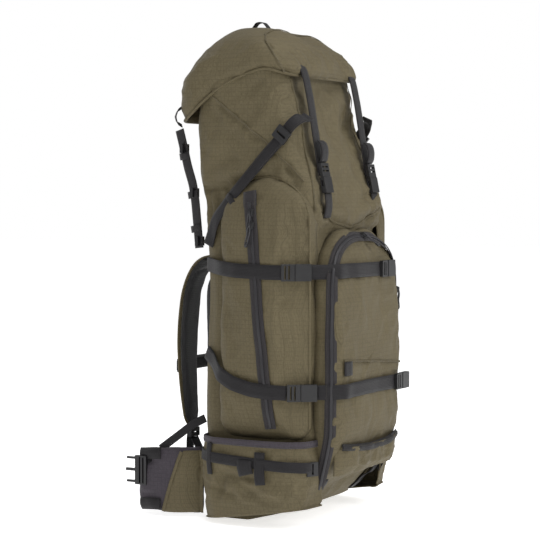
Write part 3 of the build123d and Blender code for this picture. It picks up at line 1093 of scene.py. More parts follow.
        def surface(turn: float, up: float) -> Vector:
            """Point of the sleeve, pleated more towards its drawcord."""
            low = rounded_rectangle(turn, 145, -37, 118, 34)
            high = rounded_rectangle(turn, 103, -8, 94, 40)
            share = up ** 0.8
            angle = turn * 2 * math.pi
            pleat = 1 + 0.022 * up * math.sin(angle * 46) + 0.012 * up * math.sin(angle * 17)
            x, y = (low[0] + (high[0] - low[0]) * share) * pleat, (low[1] + (high[1] - low[1]) * share)
            y = 42 + (y - 42) * pleat
            return mm(x, y, 784 + 32 * math.sin(up * math.pi / 2))

        bm = mapped_grid(surface, 368, 16)
        face_away(bm, mm(0, 40, 700))
        self.bench.finish(bm, "gathered_collar", "olive", "pack", ("collar",), thickness=1.2)

    def _seams(self) -> None:
        """Bound seams that cross the sides and run down the front corners."""
        bench = self.bench
        for word, sign in SIDES.items():
            slanted = beside(sign, (150, 106, 752), (150, 50, 712), (150, -12, 664), (150, -60, 620), (150, -84, 594))
            bench.seam(slanted, facing(sign, 0), f"side_seam_{word}", "bag")
            corner = beside(sign, (120, -46, 776), (124, -70, 710), (129, -86, 640), (134, -102, 545))
            bench.seam(corner, facing(sign, -1), f"corner_seam_{word}", "bag")
        yoke = [(-116, -120, 547), (-56, -120, 523), (0, -120, 513), (56, -120, 523), (116, -120, 547)]
        bench.seam(yoke, facing(0, -1), "front_yoke_seam", "bag", width=4, thickness=0.7)


@dataclass
class Lid:
    """Domed floating lid with a rolled edge, panel seams, a grab loop and two hanging straps."""

    bench: Bench
    half: float = 155.0
    front: float = -56.0
    back: float = 173.0
    corner: float = 50.0
    middle_y: float = 62.0
    crown_top: float = 0.874
    rims: tuple[tuple[float, float], ...] = ((-56, 776), (-30, 786), (-8, 790), (40, 776), (80, 758), (116, 733),
                                             (146, 708), (173, 700))
    tops: tuple[tuple[float, float], ...] = ((-56, 822), (-40, 838), (-24, 848), (20, 864), (62, 871), (100, 864),
                                             (134, 846), (156, 814), (174, 776))

    def outline(self, turn: float) -> Vector:
        """Point of the lower rim."""
        x, y = rounded_rectangle(turn, self.half, self.front, self.back, self.corner)
        return Vector((x, y, 0))

    def rise(self, flat: Vector, height: float) -> Vector:
        """Lift a point of the plan onto the dome.

        Args:
            flat: The point in plan.
            height: 0 at the rim, 1 at the crown.

        Returns:
            The point of the dome.
        """
        tucked = 1 - 0.035 * max(0.0, 1 - height * 5)
        rim = soft_ramp(self.rims, flat.y, reach=14)
        top = soft_ramp(self.tops, flat.y, reach=16) - 9 * (abs(flat.x) / self.half) ** 2.5
        y = self.middle_y + (flat.y - self.middle_y) * tucked
        return Vector((flat.x * tucked, y, rim + (top - rim) * height))

    def folds(self) -> list[Mark]:
        """Gathers, seams and slack."""
        side = [
            Fold((-158, -9, 866), (-152, -34, 826), -2.6, 3.4), Fold((-152, -34, 826), (-140, -54, 781), -2.6, 3.4),
            Fold((-158, 130, 792), (-158, 60, 800), 3.2, 15), Fold((-158, 90, 820), (-158, 20, 836), -3.0, 13),
            Fold((-158, 150, 740), (-158, 100, 780), -2.8, 11), Fold((-158, 60, 775), (-158, 0, 802), 2.6, 10),
            Fold((-140, 178, 800), (-100, 180, 720), 2.6, 12), Fold((-150, 166, 830), (-152, 110, 850), -2.4, 12),
        ]
        front = [
            Fold((-126, -54, 836), (-112, -54, 786), 3.8, 6), Fold((-106, -54, 840), (-96, -54, 790), -3.8, 5),
            Fold((-84, -54, 844), (-72, -54, 792), 3.6, 6), Fold((-58, -54, 842), (-58, -54, 790), -3.2, 6),
            Fold((-34, -54, 846), (-26, -54, 800), 3.6, 7), Fold((0, -54, 846), (6, -54, 790), -3.6, 6),
            Fold((34, -54, 846), (28, -54, 800), 3.4, 7), Fold((60, -54, 842), (70, -54, 790), -3.6, 6),
            Fold((92, -54, 840), (84, -54, 790), 3.6, 6), Fold((120, -54, 836), (128, -54, 786), -3.0, 6),
            Fold((-130, -30, 856), (130, -30, 856), -1.6, 4),
        ]
        slack = [
            Crumple(7, (74, 66, 60), seed=1.5),
            Crumple(3.4, (30, 34, 26), seed=6.0, ridged=True, low=(-999, -90, 700), high=(999, 999, 862), edge=40),
        ]
        return side + mirrored(side) + front + slack

    def build(self) -> None:
        """Build the dome, its rolled edge, seams, straps and loops."""
        bench = self.bench
        bm = Dome(self.outline, Vector((0, self.middle_y, 0)), self.rise, 3.6, across=240, along=84).build()
        face_away(bm, mm(0, 60, 760))
        crease(bm, self.folds())
        for vert in bm.verts:
            vert.co.z = min(vert.co.z, self.crown_top)
        bench.drape.add("lid", bm)
        bench.finish(bm, "lid_dome", "olive", "lid", ("lid_shell",), thickness=2.6)
        edge = [self.rise(self.outline(turn / 300), 0.0) / 1000 for turn in range(300)]
        bench.finish(tube_along(edge, 0.0028, closed=True), "lid_rolled_edge", "olive", "lid")
        self._seams()
        self._straps()
        self._loops()

    def _seams(self) -> None:
        """Bound seams between the crown, the side gussets and the front."""
        middle = mm(0, 62, 740)

        def outward(point: Vector, tangent: Vector) -> Vector:
            """Direction out of the dome."""
            return (point - middle).normalized()

        half = [(146, -50, 784), (156, -34, 812), (155, -14, 850), (128, -2, 868), (70, 4, 874)]
        route = beside(-1, *half) + [(0, 6, 876)] + half[::-1]
        self.bench.seam(route, outward, "lid_cross_seam", "lid", "lid", width=3.2)

    def _straps(self) -> None:
        """Two straps that hang from the lid's front to their plugs."""
        for word, sign in SIDES.items():
            x = sign * 95
            route = [(x, -46, 800), (x, -56, 790), (x, -62, 772), (x, -70, 735), (x, -82, 665), (x, -92.6, 604)]
            strap = Ribbon(route, 25, facing(0, -1), 1.6, crown=0.4, rounds=3)
            names = ("lid_straps",) if sign < 0 else ()
            self.bench.ribbon(strap, f"lid_strap_{word}", "webbing", "lid", names, stitch=True)
            tail = [(x, -89, 664), (x, -95, 661), (x, -98.5, 648), (x, -97, 632), (x, -93, 628)]
            self.bench.ribbon(Ribbon(tail, 25, facing(0, -1), 1.6, crown=0.3, rounds=1), f"lid_strap_tail_{word}",
                              "webbing", "lid_plug_" + word)

    def _loops(self) -> None:
        """Grab loop on the crown and two small tabs at the rear corners."""
        loop = [(0, 60, 868), (0, 64, 874), (0, 70, 880.5), (0, 77, 881.8), (0, 84, 880.5), (0, 90, 873), (0, 95, 866)]
        self.bench.ribbon(Ribbon(loop, 14, facing(0, 0, 1), 1.5, rounds=2, step=1.6), "lid_grab_loop", "webbing",
                          "lid", ("lid_tabs",))
        for word, sign in SIDES.items():
            tab = beside(sign, (128, 166, 726), (138, 170, 720), (142, 172, 709), (138, 171, 699), (128, 167, 694))
            self.bench.ribbon(Ribbon(tab, 9, facing(sign, 1), 1.4, rounds=2, step=1.6), f"lid_end_tab_{word}",
                              "webbing", "lid")


# ------------------------------------------------------------------------------------------
# Pockets
# ------------------------------------------------------------------------------------------


@dataclass
class Zip:
    """Reverse-coil zip: a tape with its coil, lying on a pocket."""

    bench: Bench
    route: Route
    out: Direction
    fabric: str
    width: float
    rounds: int = 6

    def build(self, name: str, stands_for: Sequence[str] = ()) -> None:
        """Build the tape, the coil and the stitches beside it.

        Args:
            name: The pieces' first word.
            stands_for: CAD nodes the tape stands for.
        """
        bench = self.bench
        tape = Ribbon(self.route, self.width, self.out, 0.9, bench.drape, (self.fabric,), 0.8, bridge=4,
                      rounds=self.rounds)
        bm, line = tape.build()
        rows = [
            [(point + side * (sign * (self.width / 2 - 1.6) / 1000), out) for point, out, side in line]
            for sign in (-1, 1)
        ]
        bench.stitches(rows, name + "_stitches", "pack")
        bench.finish(bm, name + "_tape", "tape", "pack", stands_for, thickness=0.9, outward=True)
        coil = Ribbon(self.route, 4.6, self.out, 1.1, bench.drape, (self.fabric,), 1.7, bridge=4, crown=0.7,
                      rounds=self.rounds)
        bench.ribbon(coil, name + "_coil", "coil", "pack")


# Size and height of a slider's base, top plate and bridge, in metres.
SLIDER_BLOCKS = (
    ((0.0105, 0.013, 0.0018), 0.0009), ((0.0095, 0.011, 0.0016), 0.0034), ((0.003, 0.009, 0.0026), 0.0052),
)


def zip_slider(bench: Bench, node: str, body: str, top: Vector, out: Vector, down: Vector, hang: float) -> None:
    """Build a moulded slider with a cord pull that ends in a ball.

    Args:
        bench: The bench.
        node: CAD node it stands for, or an empty word.
        body: The body it rides on.
        top: Middle of the slider's foot.
        out: Outward unit vector.
        down: Unit vector along the zip, towards the pull.
        hang: Length of the pull in metres.
    """
    side = out.cross(down).normalized()
    turn = Matrix((side, down, out)).transposed().to_4x4()
    place = Matrix.Translation(top) @ turn
    bm = bmesh.new()
    for size, shift in SLIDER_BLOCKS:
        shape = Matrix.Translation((0, 0, shift)) @ Matrix.Diagonal((*size, 1))
        bmesh.ops.create_cube(bm, size=1.0, matrix=place @ shape)
    bmesh.ops.bevel(bm, geom=bm.edges[:], offset=0.0005, affect="EDGES", segments=2, profile=0.5, material=-1)
    place_word = "lower"
    if node:
        place_word = "upper" if node.endswith(tuple(SIDES)) else node[-4:]
    label = f"{body}_{place_word}"
    bench.finish(bm, f"{label}_body", "plastic", body, (node,) if node else ())
    legs = [
        [place @ Vector((x, 0.004 + (hang - 0.008) * k / 8, 0.0056 + 0.0006 * sway(k))) for k in range(9)]
        for x, sway in ((-0.0022, math.sin), (0.0022, math.cos))
    ]
    cord = legs[0][::-1] + [place @ Vector((0, 0.0012, 0.0058))] + legs[1]
    bench.finish(tube_along(resample(cord, 0.0012, 3), 0.0011), f"{label}_cord", "cord", body)
    ball = bmesh.new()
    shape = Matrix.Translation((0, hang - 0.002, 0.0052)) @ Matrix.Diagonal((1, 1.6, 0.85, 1))
    bmesh.ops.create_uvsphere(ball, u_segments=20, v_segments=12, radius=0.0034, matrix=place @ shape)
    bench.finish(ball, f"{label}_ball", "plastic", body)


@dataclass
class SidePocket:
    """Tall arched pocket with a long zip, and the zip's garage and sliders."""

    bench: Bench
    side: str
    wall_x: float = 120.0
    peak_x: float = 185.5
    low: float = 150.0
    top: float = 602.0
    reach: float = 84.0
    middle: tuple[float, float] = (-14.0, 350.0)

    def outline(self, turn: float) -> Vector:
        """Point of the arched outline, as X, Y and Z."""
        sign = SIDES[self.side]
        y, z = rounded_rectangle(turn, self.reach, self.low, self.top, 80 if turn < 0.25 or turn > 0.75 else 26)
        return Vector((sign * self.wall_x, self.middle[0] - y, z))

    def rise(self, flat: Vector, height: float) -> Vector:
        """Push a point of the outline's plane out."""
        sign = SIDES[self.side]
        x = self.wall_x + (self.peak_x - self.wall_x) * height
        x = min(x, 187 - 0.66 * max(0.0, -44 - flat.y))
        return Vector((sign * x, flat.y, flat.z))

    def folds(self) -> list[Mark]:
        """Dimples by the zip, cinches under the straps and slack."""
        marks = [
            Fold((-188, 60, 446), (-188, -60, 440), -3.6, 13), Fold((-188, 70, 262), (-188, -60, 232), -4.2, 14),
            Fold((-188, -30, 420), (-188, -44, 300), 2.6, 11), Fold((-188, 46, 400), (-188, 38, 300), -2.4, 11),
            Fold((-180, 64, 540), (-186, 20, 560), 2.8, 9), Fold((-180, 60, 500), (-188, 30, 470), -2.8, 9),
            Fold((-180, -76, 500), (-186, -40, 470), 2.6, 9), Fold((-180, -80, 400), (-186, -50, 380), -2.6, 10),
            Fold((-184, 66, 240), (-186, 40, 180), 3.0, 9), Fold((-184, 52, 230), (-186, 30, 170), -3.0, 8),
            Fold((-184, -60, 220), (-186, -40, 172), 2.6, 9), Fold((-186, 0, 215), (-186, -6, 168), -2.4, 9),
            Fold((-188, 10, 560), (-188, -24, 575), -2.0, 7), Fold((-186, -64, 560), (-180, -86, 520), -2.4, 7),
            Crumple(4.4, (50, 46, 66), seed=3.0), Crumple(2.0, (26, 24, 30), seed=8.0, ridged=True),
        ]
        return marks if self.side == "left" else mirrored(marks)

    def build(self) -> None:
        """Build the pocket, its piping, zip and sliders."""
        bench, sign = self.bench, SIDES[self.side]
        middle = Vector((sign * self.wall_x, *self.middle))
        bm = Dome(self.outline, middle, self.rise, 4.4, across=200, along=64).build()
        face_away(bm, mm(sign * 100, -10, 350))
        crease(bm, self.folds())
        for vert in bm.verts:
            vert.co.x = sign * min(abs(vert.co.x), 0.1898)
        name = f"side_pocket_{self.side}"
        bench.drape.add(name, bm)
        bench.finish(bm, name + "_shell", "olive", "pack", (name,), thickness=2.0)
        edge = [self.outline(k / 220) for k in range(220)]
        piping = [mm(sign * 151.5, p.y, p.z) for p in edge if p.z > 165]
        start = next(i for i, p in enumerate(piping) if (piping[i - 1] - p).length > 0.03)
        piping = resample(piping[start:] + piping[:start], 0.005, 3)
        bench.finish(tube_along(piping, 0.0022), name + "_piping", "olive", "pack")
        route = beside(sign, (185, 1, 560), (185, -4, 520), (185, -8, 470), (185, -16, 385), (185, -26, 280),
                       (185, -38, 172))
        stands_for = ("side_zip_tapes",) if sign < 0 else ()
        Zip(bench, route, facing(sign, 0), name, 22).build(f"side_zip_{self.side}", stands_for)
        self._garage(name)
        body = "side_slider_" + self.side
        for index, height in enumerate((0.541, 0.520)):
            y = -0.003 - 0.0016 * index
            out = Vector((sign, 0, 0))
            lift = bench.drape.lift(Vector((sign * 0.185, y, height)), out, (name,)) or 0.0
            foot = Vector((sign * (0.185 + lift + 0.0034), y, height))
            down = Vector((0, 0.12 + 0.1 * index, -1)).normalized()
            node = "side_zip_slider_" + self.side if index == 0 else ""
            zip_slider(bench, node, body, foot, out, down, 0.030 + 0.006 * index)

    def _garage(self, name: str) -> None:
        """Charcoal patch that hides the zip's top end."""
        sign = SIDES[self.side]
        route = beside(sign, (185, 4, 578), (185, 2, 566), (185, 0, 552))
        patch = Ribbon(route, 25, facing(sign, 0), 1.2, self.bench.drape, (name,), 1.6, bridge=2, crown=1.4, rounds=1)
        self.bench.ribbon(patch, f"side_zip_garage_{self.side}", "tape", "pack", stitch=True)


@dataclass
class BottlePocket:
    """Open bottle pocket with a hem band, a cinch strap, vertical tabs and crinkled fabric."""

    bench: Bench
    side: str
    low: float = 6.0
    top: float = 146.0
    inside: float = 108.0
    seam_x: float = 138.0
    foot_slope: float = 0.15
    plan: tuple[tuple[float, float], ...] = ((118, 108), (166, 102), (186, 74), (190, 20), (190, -30), (184, -70),
                                             (166, -96), (116, -106))

    def build(self) -> None:
        """Build the pocket and what is sewn on it."""
        bench, sign = self.bench, SIDES[self.side]
        line = resample([mm(sign * x, y, 0) for x, y in self.plan], 0.0022, 10)
        name = f"bottle_pocket_{self.side}"
        last = len(line) - 1

        def surface(turn: float, up: float) -> Vector:
            """Point of the pocket: in under the foot, then up to the hem."""
            here = line[round(turn * last)]
            foot = self.low + max(0.0, 90 - here.y * 1000) * self.foot_slope
            slope = 10 * abs(turn - 0.5) ** 1.5
            if up < 0.12:
                share = (up / 0.12) ** 0.7
                inward = Vector((sign * self.inside / 1000, here.y * 0.86, 0))
                flat = inward.lerp(here, 0.25 + 0.75 * share * 0.97)
                return flat + Vector((0, 0, (foot - 2 + 4 * share ** 3) / 1000))
            share = (up - 0.12) / 0.88
            belly = 1 + 0.02 * math.sin(math.pi * share) - 0.05 * (1 - share) ** 5
            seam_x = self.seam_x / 1000
            x = sign * (seam_x + (abs(here.x) - seam_x) * belly)
            return Vector((x, here.y * belly, (foot + 2 + (self.top - foot + slope - 2) * share) / 1000))

        bm = mapped_grid(surface, last, 60)
        face_away(bm, mm(sign * 110, 0, 100))
        marks = [
            Crumple(4.5, (44, 40, 34), low=(-999, -999, 34), high=(999, 999, 140), edge=10, seed=5.0, ridged=True),
            Crumple(1.6, (20, 19, 18), low=(-999, -999, 34), high=(999, 999, 138), edge=10, seed=12.0, ridged=True),
            Fold((190, 66, 96), (190, 84, 40), 3.4, 9), Fold((190, 52, 92), (190, 62, 40), -3.4, 8),
            Fold((190, 30, 88), (190, -30, 50), -3.2, 8), Fold((190, -10, 90), (188, -66, 56), 3.2, 9),
            Fold((190, 90, 70), (190, 20, 52), -3.4, 6), Fold((190, 60, 92), (190, -30, 86), -3.0, 6),
            Fold((190, 10, 76), (190, -60, 60), 3.0, 7), Fold((186, -40, 120), (180, -90, 96), 3.0, 7),
            Fold((190, 74, 118), (190, 34, 104), 3.0, 6),
        ]
        crease(bm, marks if sign > 0 else mirrored(marks))
        for vert in bm.verts:
            vert.co.x = sign * min(abs(vert.co.x), 0.1955)
        bench.drape.add(name, bm)
        stands_for = (name, "bottle_pocket_straps") if sign < 0 else (name,)
        bench.finish(bm, name + "_shell", "olive", "pack", stands_for, thickness=2.0)
        self._trim(name, line, sign)

    def _trim(self, name: str, line: Sequence[Vector], sign: int) -> None:
        """Hem band, cinch strap and tabs."""
        bench = self.bench

        def level(z_back: float, z_front: float, low: int, high: int) -> list[tuple[float, float, float]]:
            """Route round the pocket at a height."""
            points = line[low:high]
            drop = (z_front - z_back) / len(points)
            return [(p.x * 1000, p.y * 1000, z_back + drop * k) for k, p in enumerate(points)]

        count = len(line)
        hem = Ribbon(level(147, 146, 4, count - 4), 11, round_the_bag, 1.2, bench.drape, (name,), 0.3, bridge=1,
                     crown=0.8, rounds=1)
        bench.ribbon(hem, name + "_hem", "charcoal", "pack", stitch=True)
        cinch = Ribbon(level(122, 106, 6, count - 10), 18, round_the_bag, 1.5, bench.drape, (name,), 0.9, bridge=6,
                       rounds=1)
        bench.ribbon(cinch, name + "_cinch_strap", "webbing", "pack")
        for index, (y, z_top, z_low, wide) in enumerate(((78, 142, 88, 11), (-24, 132, 78, 19), (4, 116, 94, 28))):
            route = beside(sign, (186, y, z_top), (188, y, (z_top + z_low) / 2), (186, y - 3, z_low))
            tab = Ribbon(route, wide, facing(sign, 0.25 if y > 50 else 0), 1.3, bench.drape, (name,),
                         2.6 + 0.9 * index, bridge=3)
            bench.ribbon(tab, f"{name}_tab_{index + 1}", "webbing", "pack")


@dataclass
class FrontPocket:
    """Zipped front pocket with an arched zip, a level seam, and the open stash pocket below."""

    bench: Bench
    half: float = 133.0
    low: float = 52.0
    top: float = 510.0
    middle_z: float = 300.0
    zip_half: float = 129.0
    zip_y: float = -128.0
    spring: float = 396.0
    arch: float = 108.0
    peaks: tuple[tuple[float, float], ...] = ((56, -66), (74, -112), (130, -139), (170, -150), (310, -151),
                                              (400, -146), (481, -134), (508, -124))

    def outline(self, turn: float) -> Vector:
        """Point of the outline against the bag."""
        radius = 100 if turn < 0.25 or turn > 0.75 else 34
        x, z = rounded_rectangle(turn, self.half, self.low, self.top, radius)
        return Vector((x, 0, z))

    def rise(self, flat: Vector, height: float) -> Vector:
        """Push a point of the plane out to the pocket's face."""
        base = soft_ramp(((56, -60), (80, -92), (120, -98), (480, -98), (520, -96)), flat.z)
        return Vector((flat.x, base + (soft_ramp(self.peaks, flat.z, reach=16) - base) * height, flat.z))

    def folds(self) -> list[Mark]:
        """Seams, dimples and slack."""
        return [
            Fold((-116, -150, 286), (116, -150, 266), -2.6, 3.5), Fold((-116, -150, 276), (116, -150, 258), 1.8, 6),
            Fold((-104, -148, 440), (-30, -150, 440), -2.8, 12), Fold((-112, -150, 236), (112, -150, 236), -2.8, 12),
            Fold((-66, -150, 420), (-40, -150, 340), 2.8, 12), Fold((30, -150, 430), (50, -150, 320), -2.8, 12),
            Fold((-100, -150, 268), (-70, -150, 180), -3.0, 10), Fold((-40, -150, 262), (-24, -150, 170), 2.8, 12),
            Fold((40, -150, 262), (58, -150, 170), -3.0, 11), Fold((88, -150, 250), (96, -150, 180), 2.6, 9),
            Fold((-60, -140, 486), (60, -140, 486), -2.0, 8), Fold((-118, -130, 400), (-112, -135, 300), 2.6, 8),
            Crumple(5, (62, 60, 70), seed=14.0), Crumple(2.4, (28, 28, 30), seed=18.0, ridged=True),
        ]

    def build(self) -> None:
        """Build the pocket, its zip, seams and stash pocket."""
        bench = self.bench
        bm = Dome(self.outline, Vector((0, 0, self.middle_z)), self.rise, 5.0, across=220, along=72).build()
        face_away(bm, mm(0, -90, 290))
        crease(bm, self.folds())
        for vert in bm.verts:
            vert.co.y = max(vert.co.y, -0.1555)
        bench.drape.add("front_pocket", bm)
        bench.finish(bm, "front_pocket_shell", "olive", "pack", ("front_pocket",), thickness=2.0)
        curve = [power_curve(math.pi * k / 28, 2.5) for k in range(29)]
        arch = [(-self.zip_half * x, self.zip_y, self.spring + self.arch * z) for x, z in curve]
        route = [(-127, -104, 64), (-129, -124, 160), *arch, (129, -124, 160), (127, -104, 64)]

        def outward(point: Vector, tangent: Vector) -> Vector:
            """Direction out of the pocket's edge, for a ribbon."""
            return self._away(point.x * 1000, point.z * 1000)

        Zip(bench, route, outward, "front_pocket", 20, rounds=3).build("front_zip", ("front_pocket_zip",))
        bench.seam([(-116, -150, 288), (0, -150, 279), (116, -150, 268)], facing(0, -1), "front_pocket_seam",
                   "front_pocket", thickness=0.9, clearance=0.2, crown=0.8)
        tab = Ribbon([(-106, -150, 286), (-106, -150, 274), (-106, -150, 262)], 25, facing(0, -1), 1.5, bench.drape,
                     ("front_pocket",), 1.2)
        bench.ribbon(tab, "front_pocket_tab", "webbing", "pack")
        self._sliders()
        self._stash()

    def _away(self, x: float, z: float) -> Vector:
        """Direction out of the pocket's rounded edge, at a place in millimetres."""
        up = max(0.0, z - self.spring) / self.arch
        return Vector((x / self.zip_half * 0.7, -0.72, up * 0.66)).normalized()

    def _sliders(self) -> None:
        """Top slider on the arch and side slider on the right leg."""
        bench = self.bench
        for node, body, x, z, hang in (
            ("front_zip_slider_top", "front_slider_top", 9, 503, 0.032),
            ("front_zip_slider_side", "front_slider_side", 128, 398, 0.034),
        ):
            out = self._away(x, z)
            place = mm(x, self.zip_y, z)
            lift = bench.drape.lift(place, out, ("front_pocket",)) or 0.0
            down = Vector((0.12 if z < 450 else 0.5, 0, -1))
            down = (down - out * down.dot(out)).normalized()
            zip_slider(bench, node, body, place + out * (lift + 0.0034), out, down, hang)

    def _stash(self) -> None:
        """Open pocket low on the front, with a webbing hem that pleats."""
        bench = self.bench

        def surface(turn: float, up: float) -> Vector:
            """Point of the slack panel."""
            x = -118 + 236 * turn
            edge = 1 - (2 * turn - 1) ** 8
            z = 88 + (140 - 6 * math.sin(math.pi * turn) - 88) * up
            y = -128 - (21 + 4.5 * up) * edge * min(1.0, 0.35 + 2.2 * up)
            pleat = 2.6 * math.sin(turn * 9.5 * math.pi) * math.sin(math.pi * min(1.0, up * 0.8 + 0.1)) * edge
            return mm(x, max(-158, y + pleat), z)

        bm = mapped_grid(surface, 120, 34)
        face_away(bm, mm(0, -100, 110))
        crease(bm, [
            Crumple(3.0, (26, 26, 18), seed=21.0, ridged=True),
            Fold((20, -152, 138), (34, -150, 96), -3.0, 5), Fold((-50, -152, 138), (-40, -150, 96), 2.4, 6),
        ])
        for vert in bm.verts:
            vert.co.y = max(vert.co.y, -0.1585)
        bench.drape.add("stash", bm)
        bench.finish(bm, "stash_pocket_panel", "olive", "pack", ("stash_pocket",), thickness=1.6)
        hem = Ribbon([(-114, -146, 139), (-50, -150, 132), (0, -150, 129), (50, -150, 131), (114, -146, 139)], 11,
                     facing(0, -1), 1.4, bench.drape, ("stash", "front_pocket"), 0.4, bridge=2, crown=0.6)
        bench.ribbon(hem, "stash_pocket_hem", "webbing", "pack", stitch=True)


# ------------------------------------------------------------------------------------------
# Webbing on the bag
# ------------------------------------------------------------------------------------------


@dataclass
class BagWebbing:
    """Compression straps, diagonal straps, rear lid straps, anchors and bottom straps."""

    bench: Bench

    def build(self) -> None:
        """Build every strap of the bag."""
        for word, sign in SIDES.items():
            self._compression(word, sign)
            self._diagonal(word, sign)
            self._rear(word, sign)
            self._front_details(word, sign)
        self._front()

    def _lay(self, route: Route, out: Direction, name: str, stands_for: Sequence[str] = (), width: float = 25.0,
             names: Sequence[str] = (), stitch: bool = False, clearance: float = 1.2) -> None:
        """Drape one strap over the bag.

        Args:
            route: The strap's line.
            out: Outward direction.
            name: The piece's name.
            stands_for: CAD nodes it stands for.
            width: Width in millimetres.
            names: Fabrics it lies on.
            stitch: Whether it is stitched down.
            clearance: Gap to the fabric in millimetres.
        """
        strap = Ribbon(route, width, out, 1.7, self.bench.drape, names, clearance, bridge=9, crown=0.3, reach=34.0)
        self.bench.ribbon(strap, name, "webbing", "pack", stands_for, stitch=stitch)

    def _compression(self, word: str, sign: int) -> None:
        """Upper and lower side straps."""
        pocket = ("bag", f"side_pocket_{word}")
        front_upper = [(-186, -36, 440), (-183.4, -62, 440)] if sign < 0 else [(-186, -50, 440), (-162, -108, 440),
                                                                               (-122, -141, 440), (-88, -145.4, 440)]
        upper = [(-146, 112, 450), (-158, 96, 448), (-180, 62, 445), (-188, 30, 442), *front_upper]
        self._lay(beside(-sign, *upper), round_the_bag, f"upper_side_strap_{word}",
                  ("upper_side_straps",) if sign < 0 else (), names=pocket + (("front_pocket",) if sign > 0 else ()))
        front_lower = [(-186, -36, 236), (-178.6, -68, 235)] if sign < 0 else [
            (-186, -50, 236), (-162, -108, 235), (-150, -140, 235), (-131, -155.4, 235)]
        lower = [(-150, 108, 296), (-160, 90, 284), (-180, 66, 262), (-188, 36, 248), (-189, 0, 239), *front_lower]
        self._lay(beside(-sign, *lower), round_the_bag, f"lower_side_strap_{word}",
                  ("lower_side_straps",) if sign < 0 else (), names=pocket)

    def _front(self) -> None:
        """Upper and lower straps across the front, sewn at the left corner."""
        upper = [(-154.8, -102.8, 440), (-132, -130, 440), (-119, -146, 441), (-60, -153, 441), (44, -150, 440)]
        self._lay(upper, round_the_bag, "upper_front_strap_web", ("upper_front_strap",), names=("front_pocket",))
        lower = [(-148.8, -110.8, 235), (-133, -138, 235), (-118, -156, 236), (-40, -157, 237), (88, -155.6, 235)]
        self._lay(lower, round_the_bag, "lower_front_strap_web", ("lower_front_strap",), names=("front_pocket",))

    def _diagonal(self, word: str, sign: int) -> None:
        """Slanted strap of the side, from the corner seam to the frame."""
        fabrics = ("bag", f"side_pocket_{word}")
        route = beside(sign, (136, -84, 722), (148, -78, 708), (152, -66, 694), (152, -44, 668), (152, -10, 630),
                       (152, 22, 592), (152, 52, 560), (152, 76, 530), (150, 98, 484))
        self._lay(route, facing(sign, 0), f"diagonal_strap_{word}", ("diagonal_straps",) if sign < 0 else (), 20,
                  fabrics, stitch=True)
        keeper = beside(sign, (156, 42, 568), (156, 49, 560))
        self._lay(keeper, facing(sign, 0), f"diagonal_keeper_{word}", (), 24, fabrics, clearance=4.2)

    def _rear(self, word: str, sign: int) -> None:
        """Strap from the lid's rear corner down the frame to the harness."""
        x = sign * 141
        route = [(x, 164, 686), (x, 157, 660), (x, 147, 620), (x, 137, 590), (x, 132, 560), (x, 128, 520),
                 (x, 124, 478)]
        rear = Ribbon(route, 20, facing(sign, 0.3), 1.7, crown=0.4, rounds=4)
        self.bench.ribbon(rear, f"rear_lid_strap_{word}_web", "webbing", "pack",
                          ("rear_lid_straps",) if sign < 0 else (), stitch=True)
        for index, (y, z) in enumerate(((151.5, 640), (134.6, 572), (128.4, 512))):
            ends = [(x, y + 1, z + 6), (x, y - 1, z - 6)]
            keeper = Ribbon(ends, 23, facing(sign, 0.3), 2.4, crown=0.8, rounds=0)
            bm, _ = keeper.build()
            for vert in bm.verts:
                vert.co += Vector((sign, 0.3, 0)) * 0.0022
            self.bench.finish(bm, f"rear_strap_keeper_{word}_{index + 1}", "webbing", "pack", thickness=2.4,
                              outward=True)

    def _front_details(self, word: str, sign: int) -> None:
        """Anchors of the lid sockets and the bottom straps."""
        x = sign * 95
        anchor = [(x, -103.8, 574), (x, -106, 560), (x, -106, 548), (x, -102, 532)]
        self.bench.ribbon(Ribbon(anchor, 25, facing(0, -1), 1.7, crown=0.3), f"lid_socket_anchor_{word}", "webbing",
                          "pack", ("lid_strap_anchors",) if sign < 0 else (), stitch=True)
        bottom = beside(sign, (100, -72, 12), (100, -96, 30), (100, -110, 52), (102, -118, 72))
        strap = Ribbon(bottom, 20, facing(0, -1, -0.4), 1.7, self.bench.drape, ("bag", "front_pocket"), 0.8, bridge=3)
        self.bench.ribbon(strap, f"bottom_strap_{word}", "webbing", "pack", ("bottom_straps",) if sign < 0 else ())


# ------------------------------------------------------------------------------------------
# Harness
# ------------------------------------------------------------------------------------------


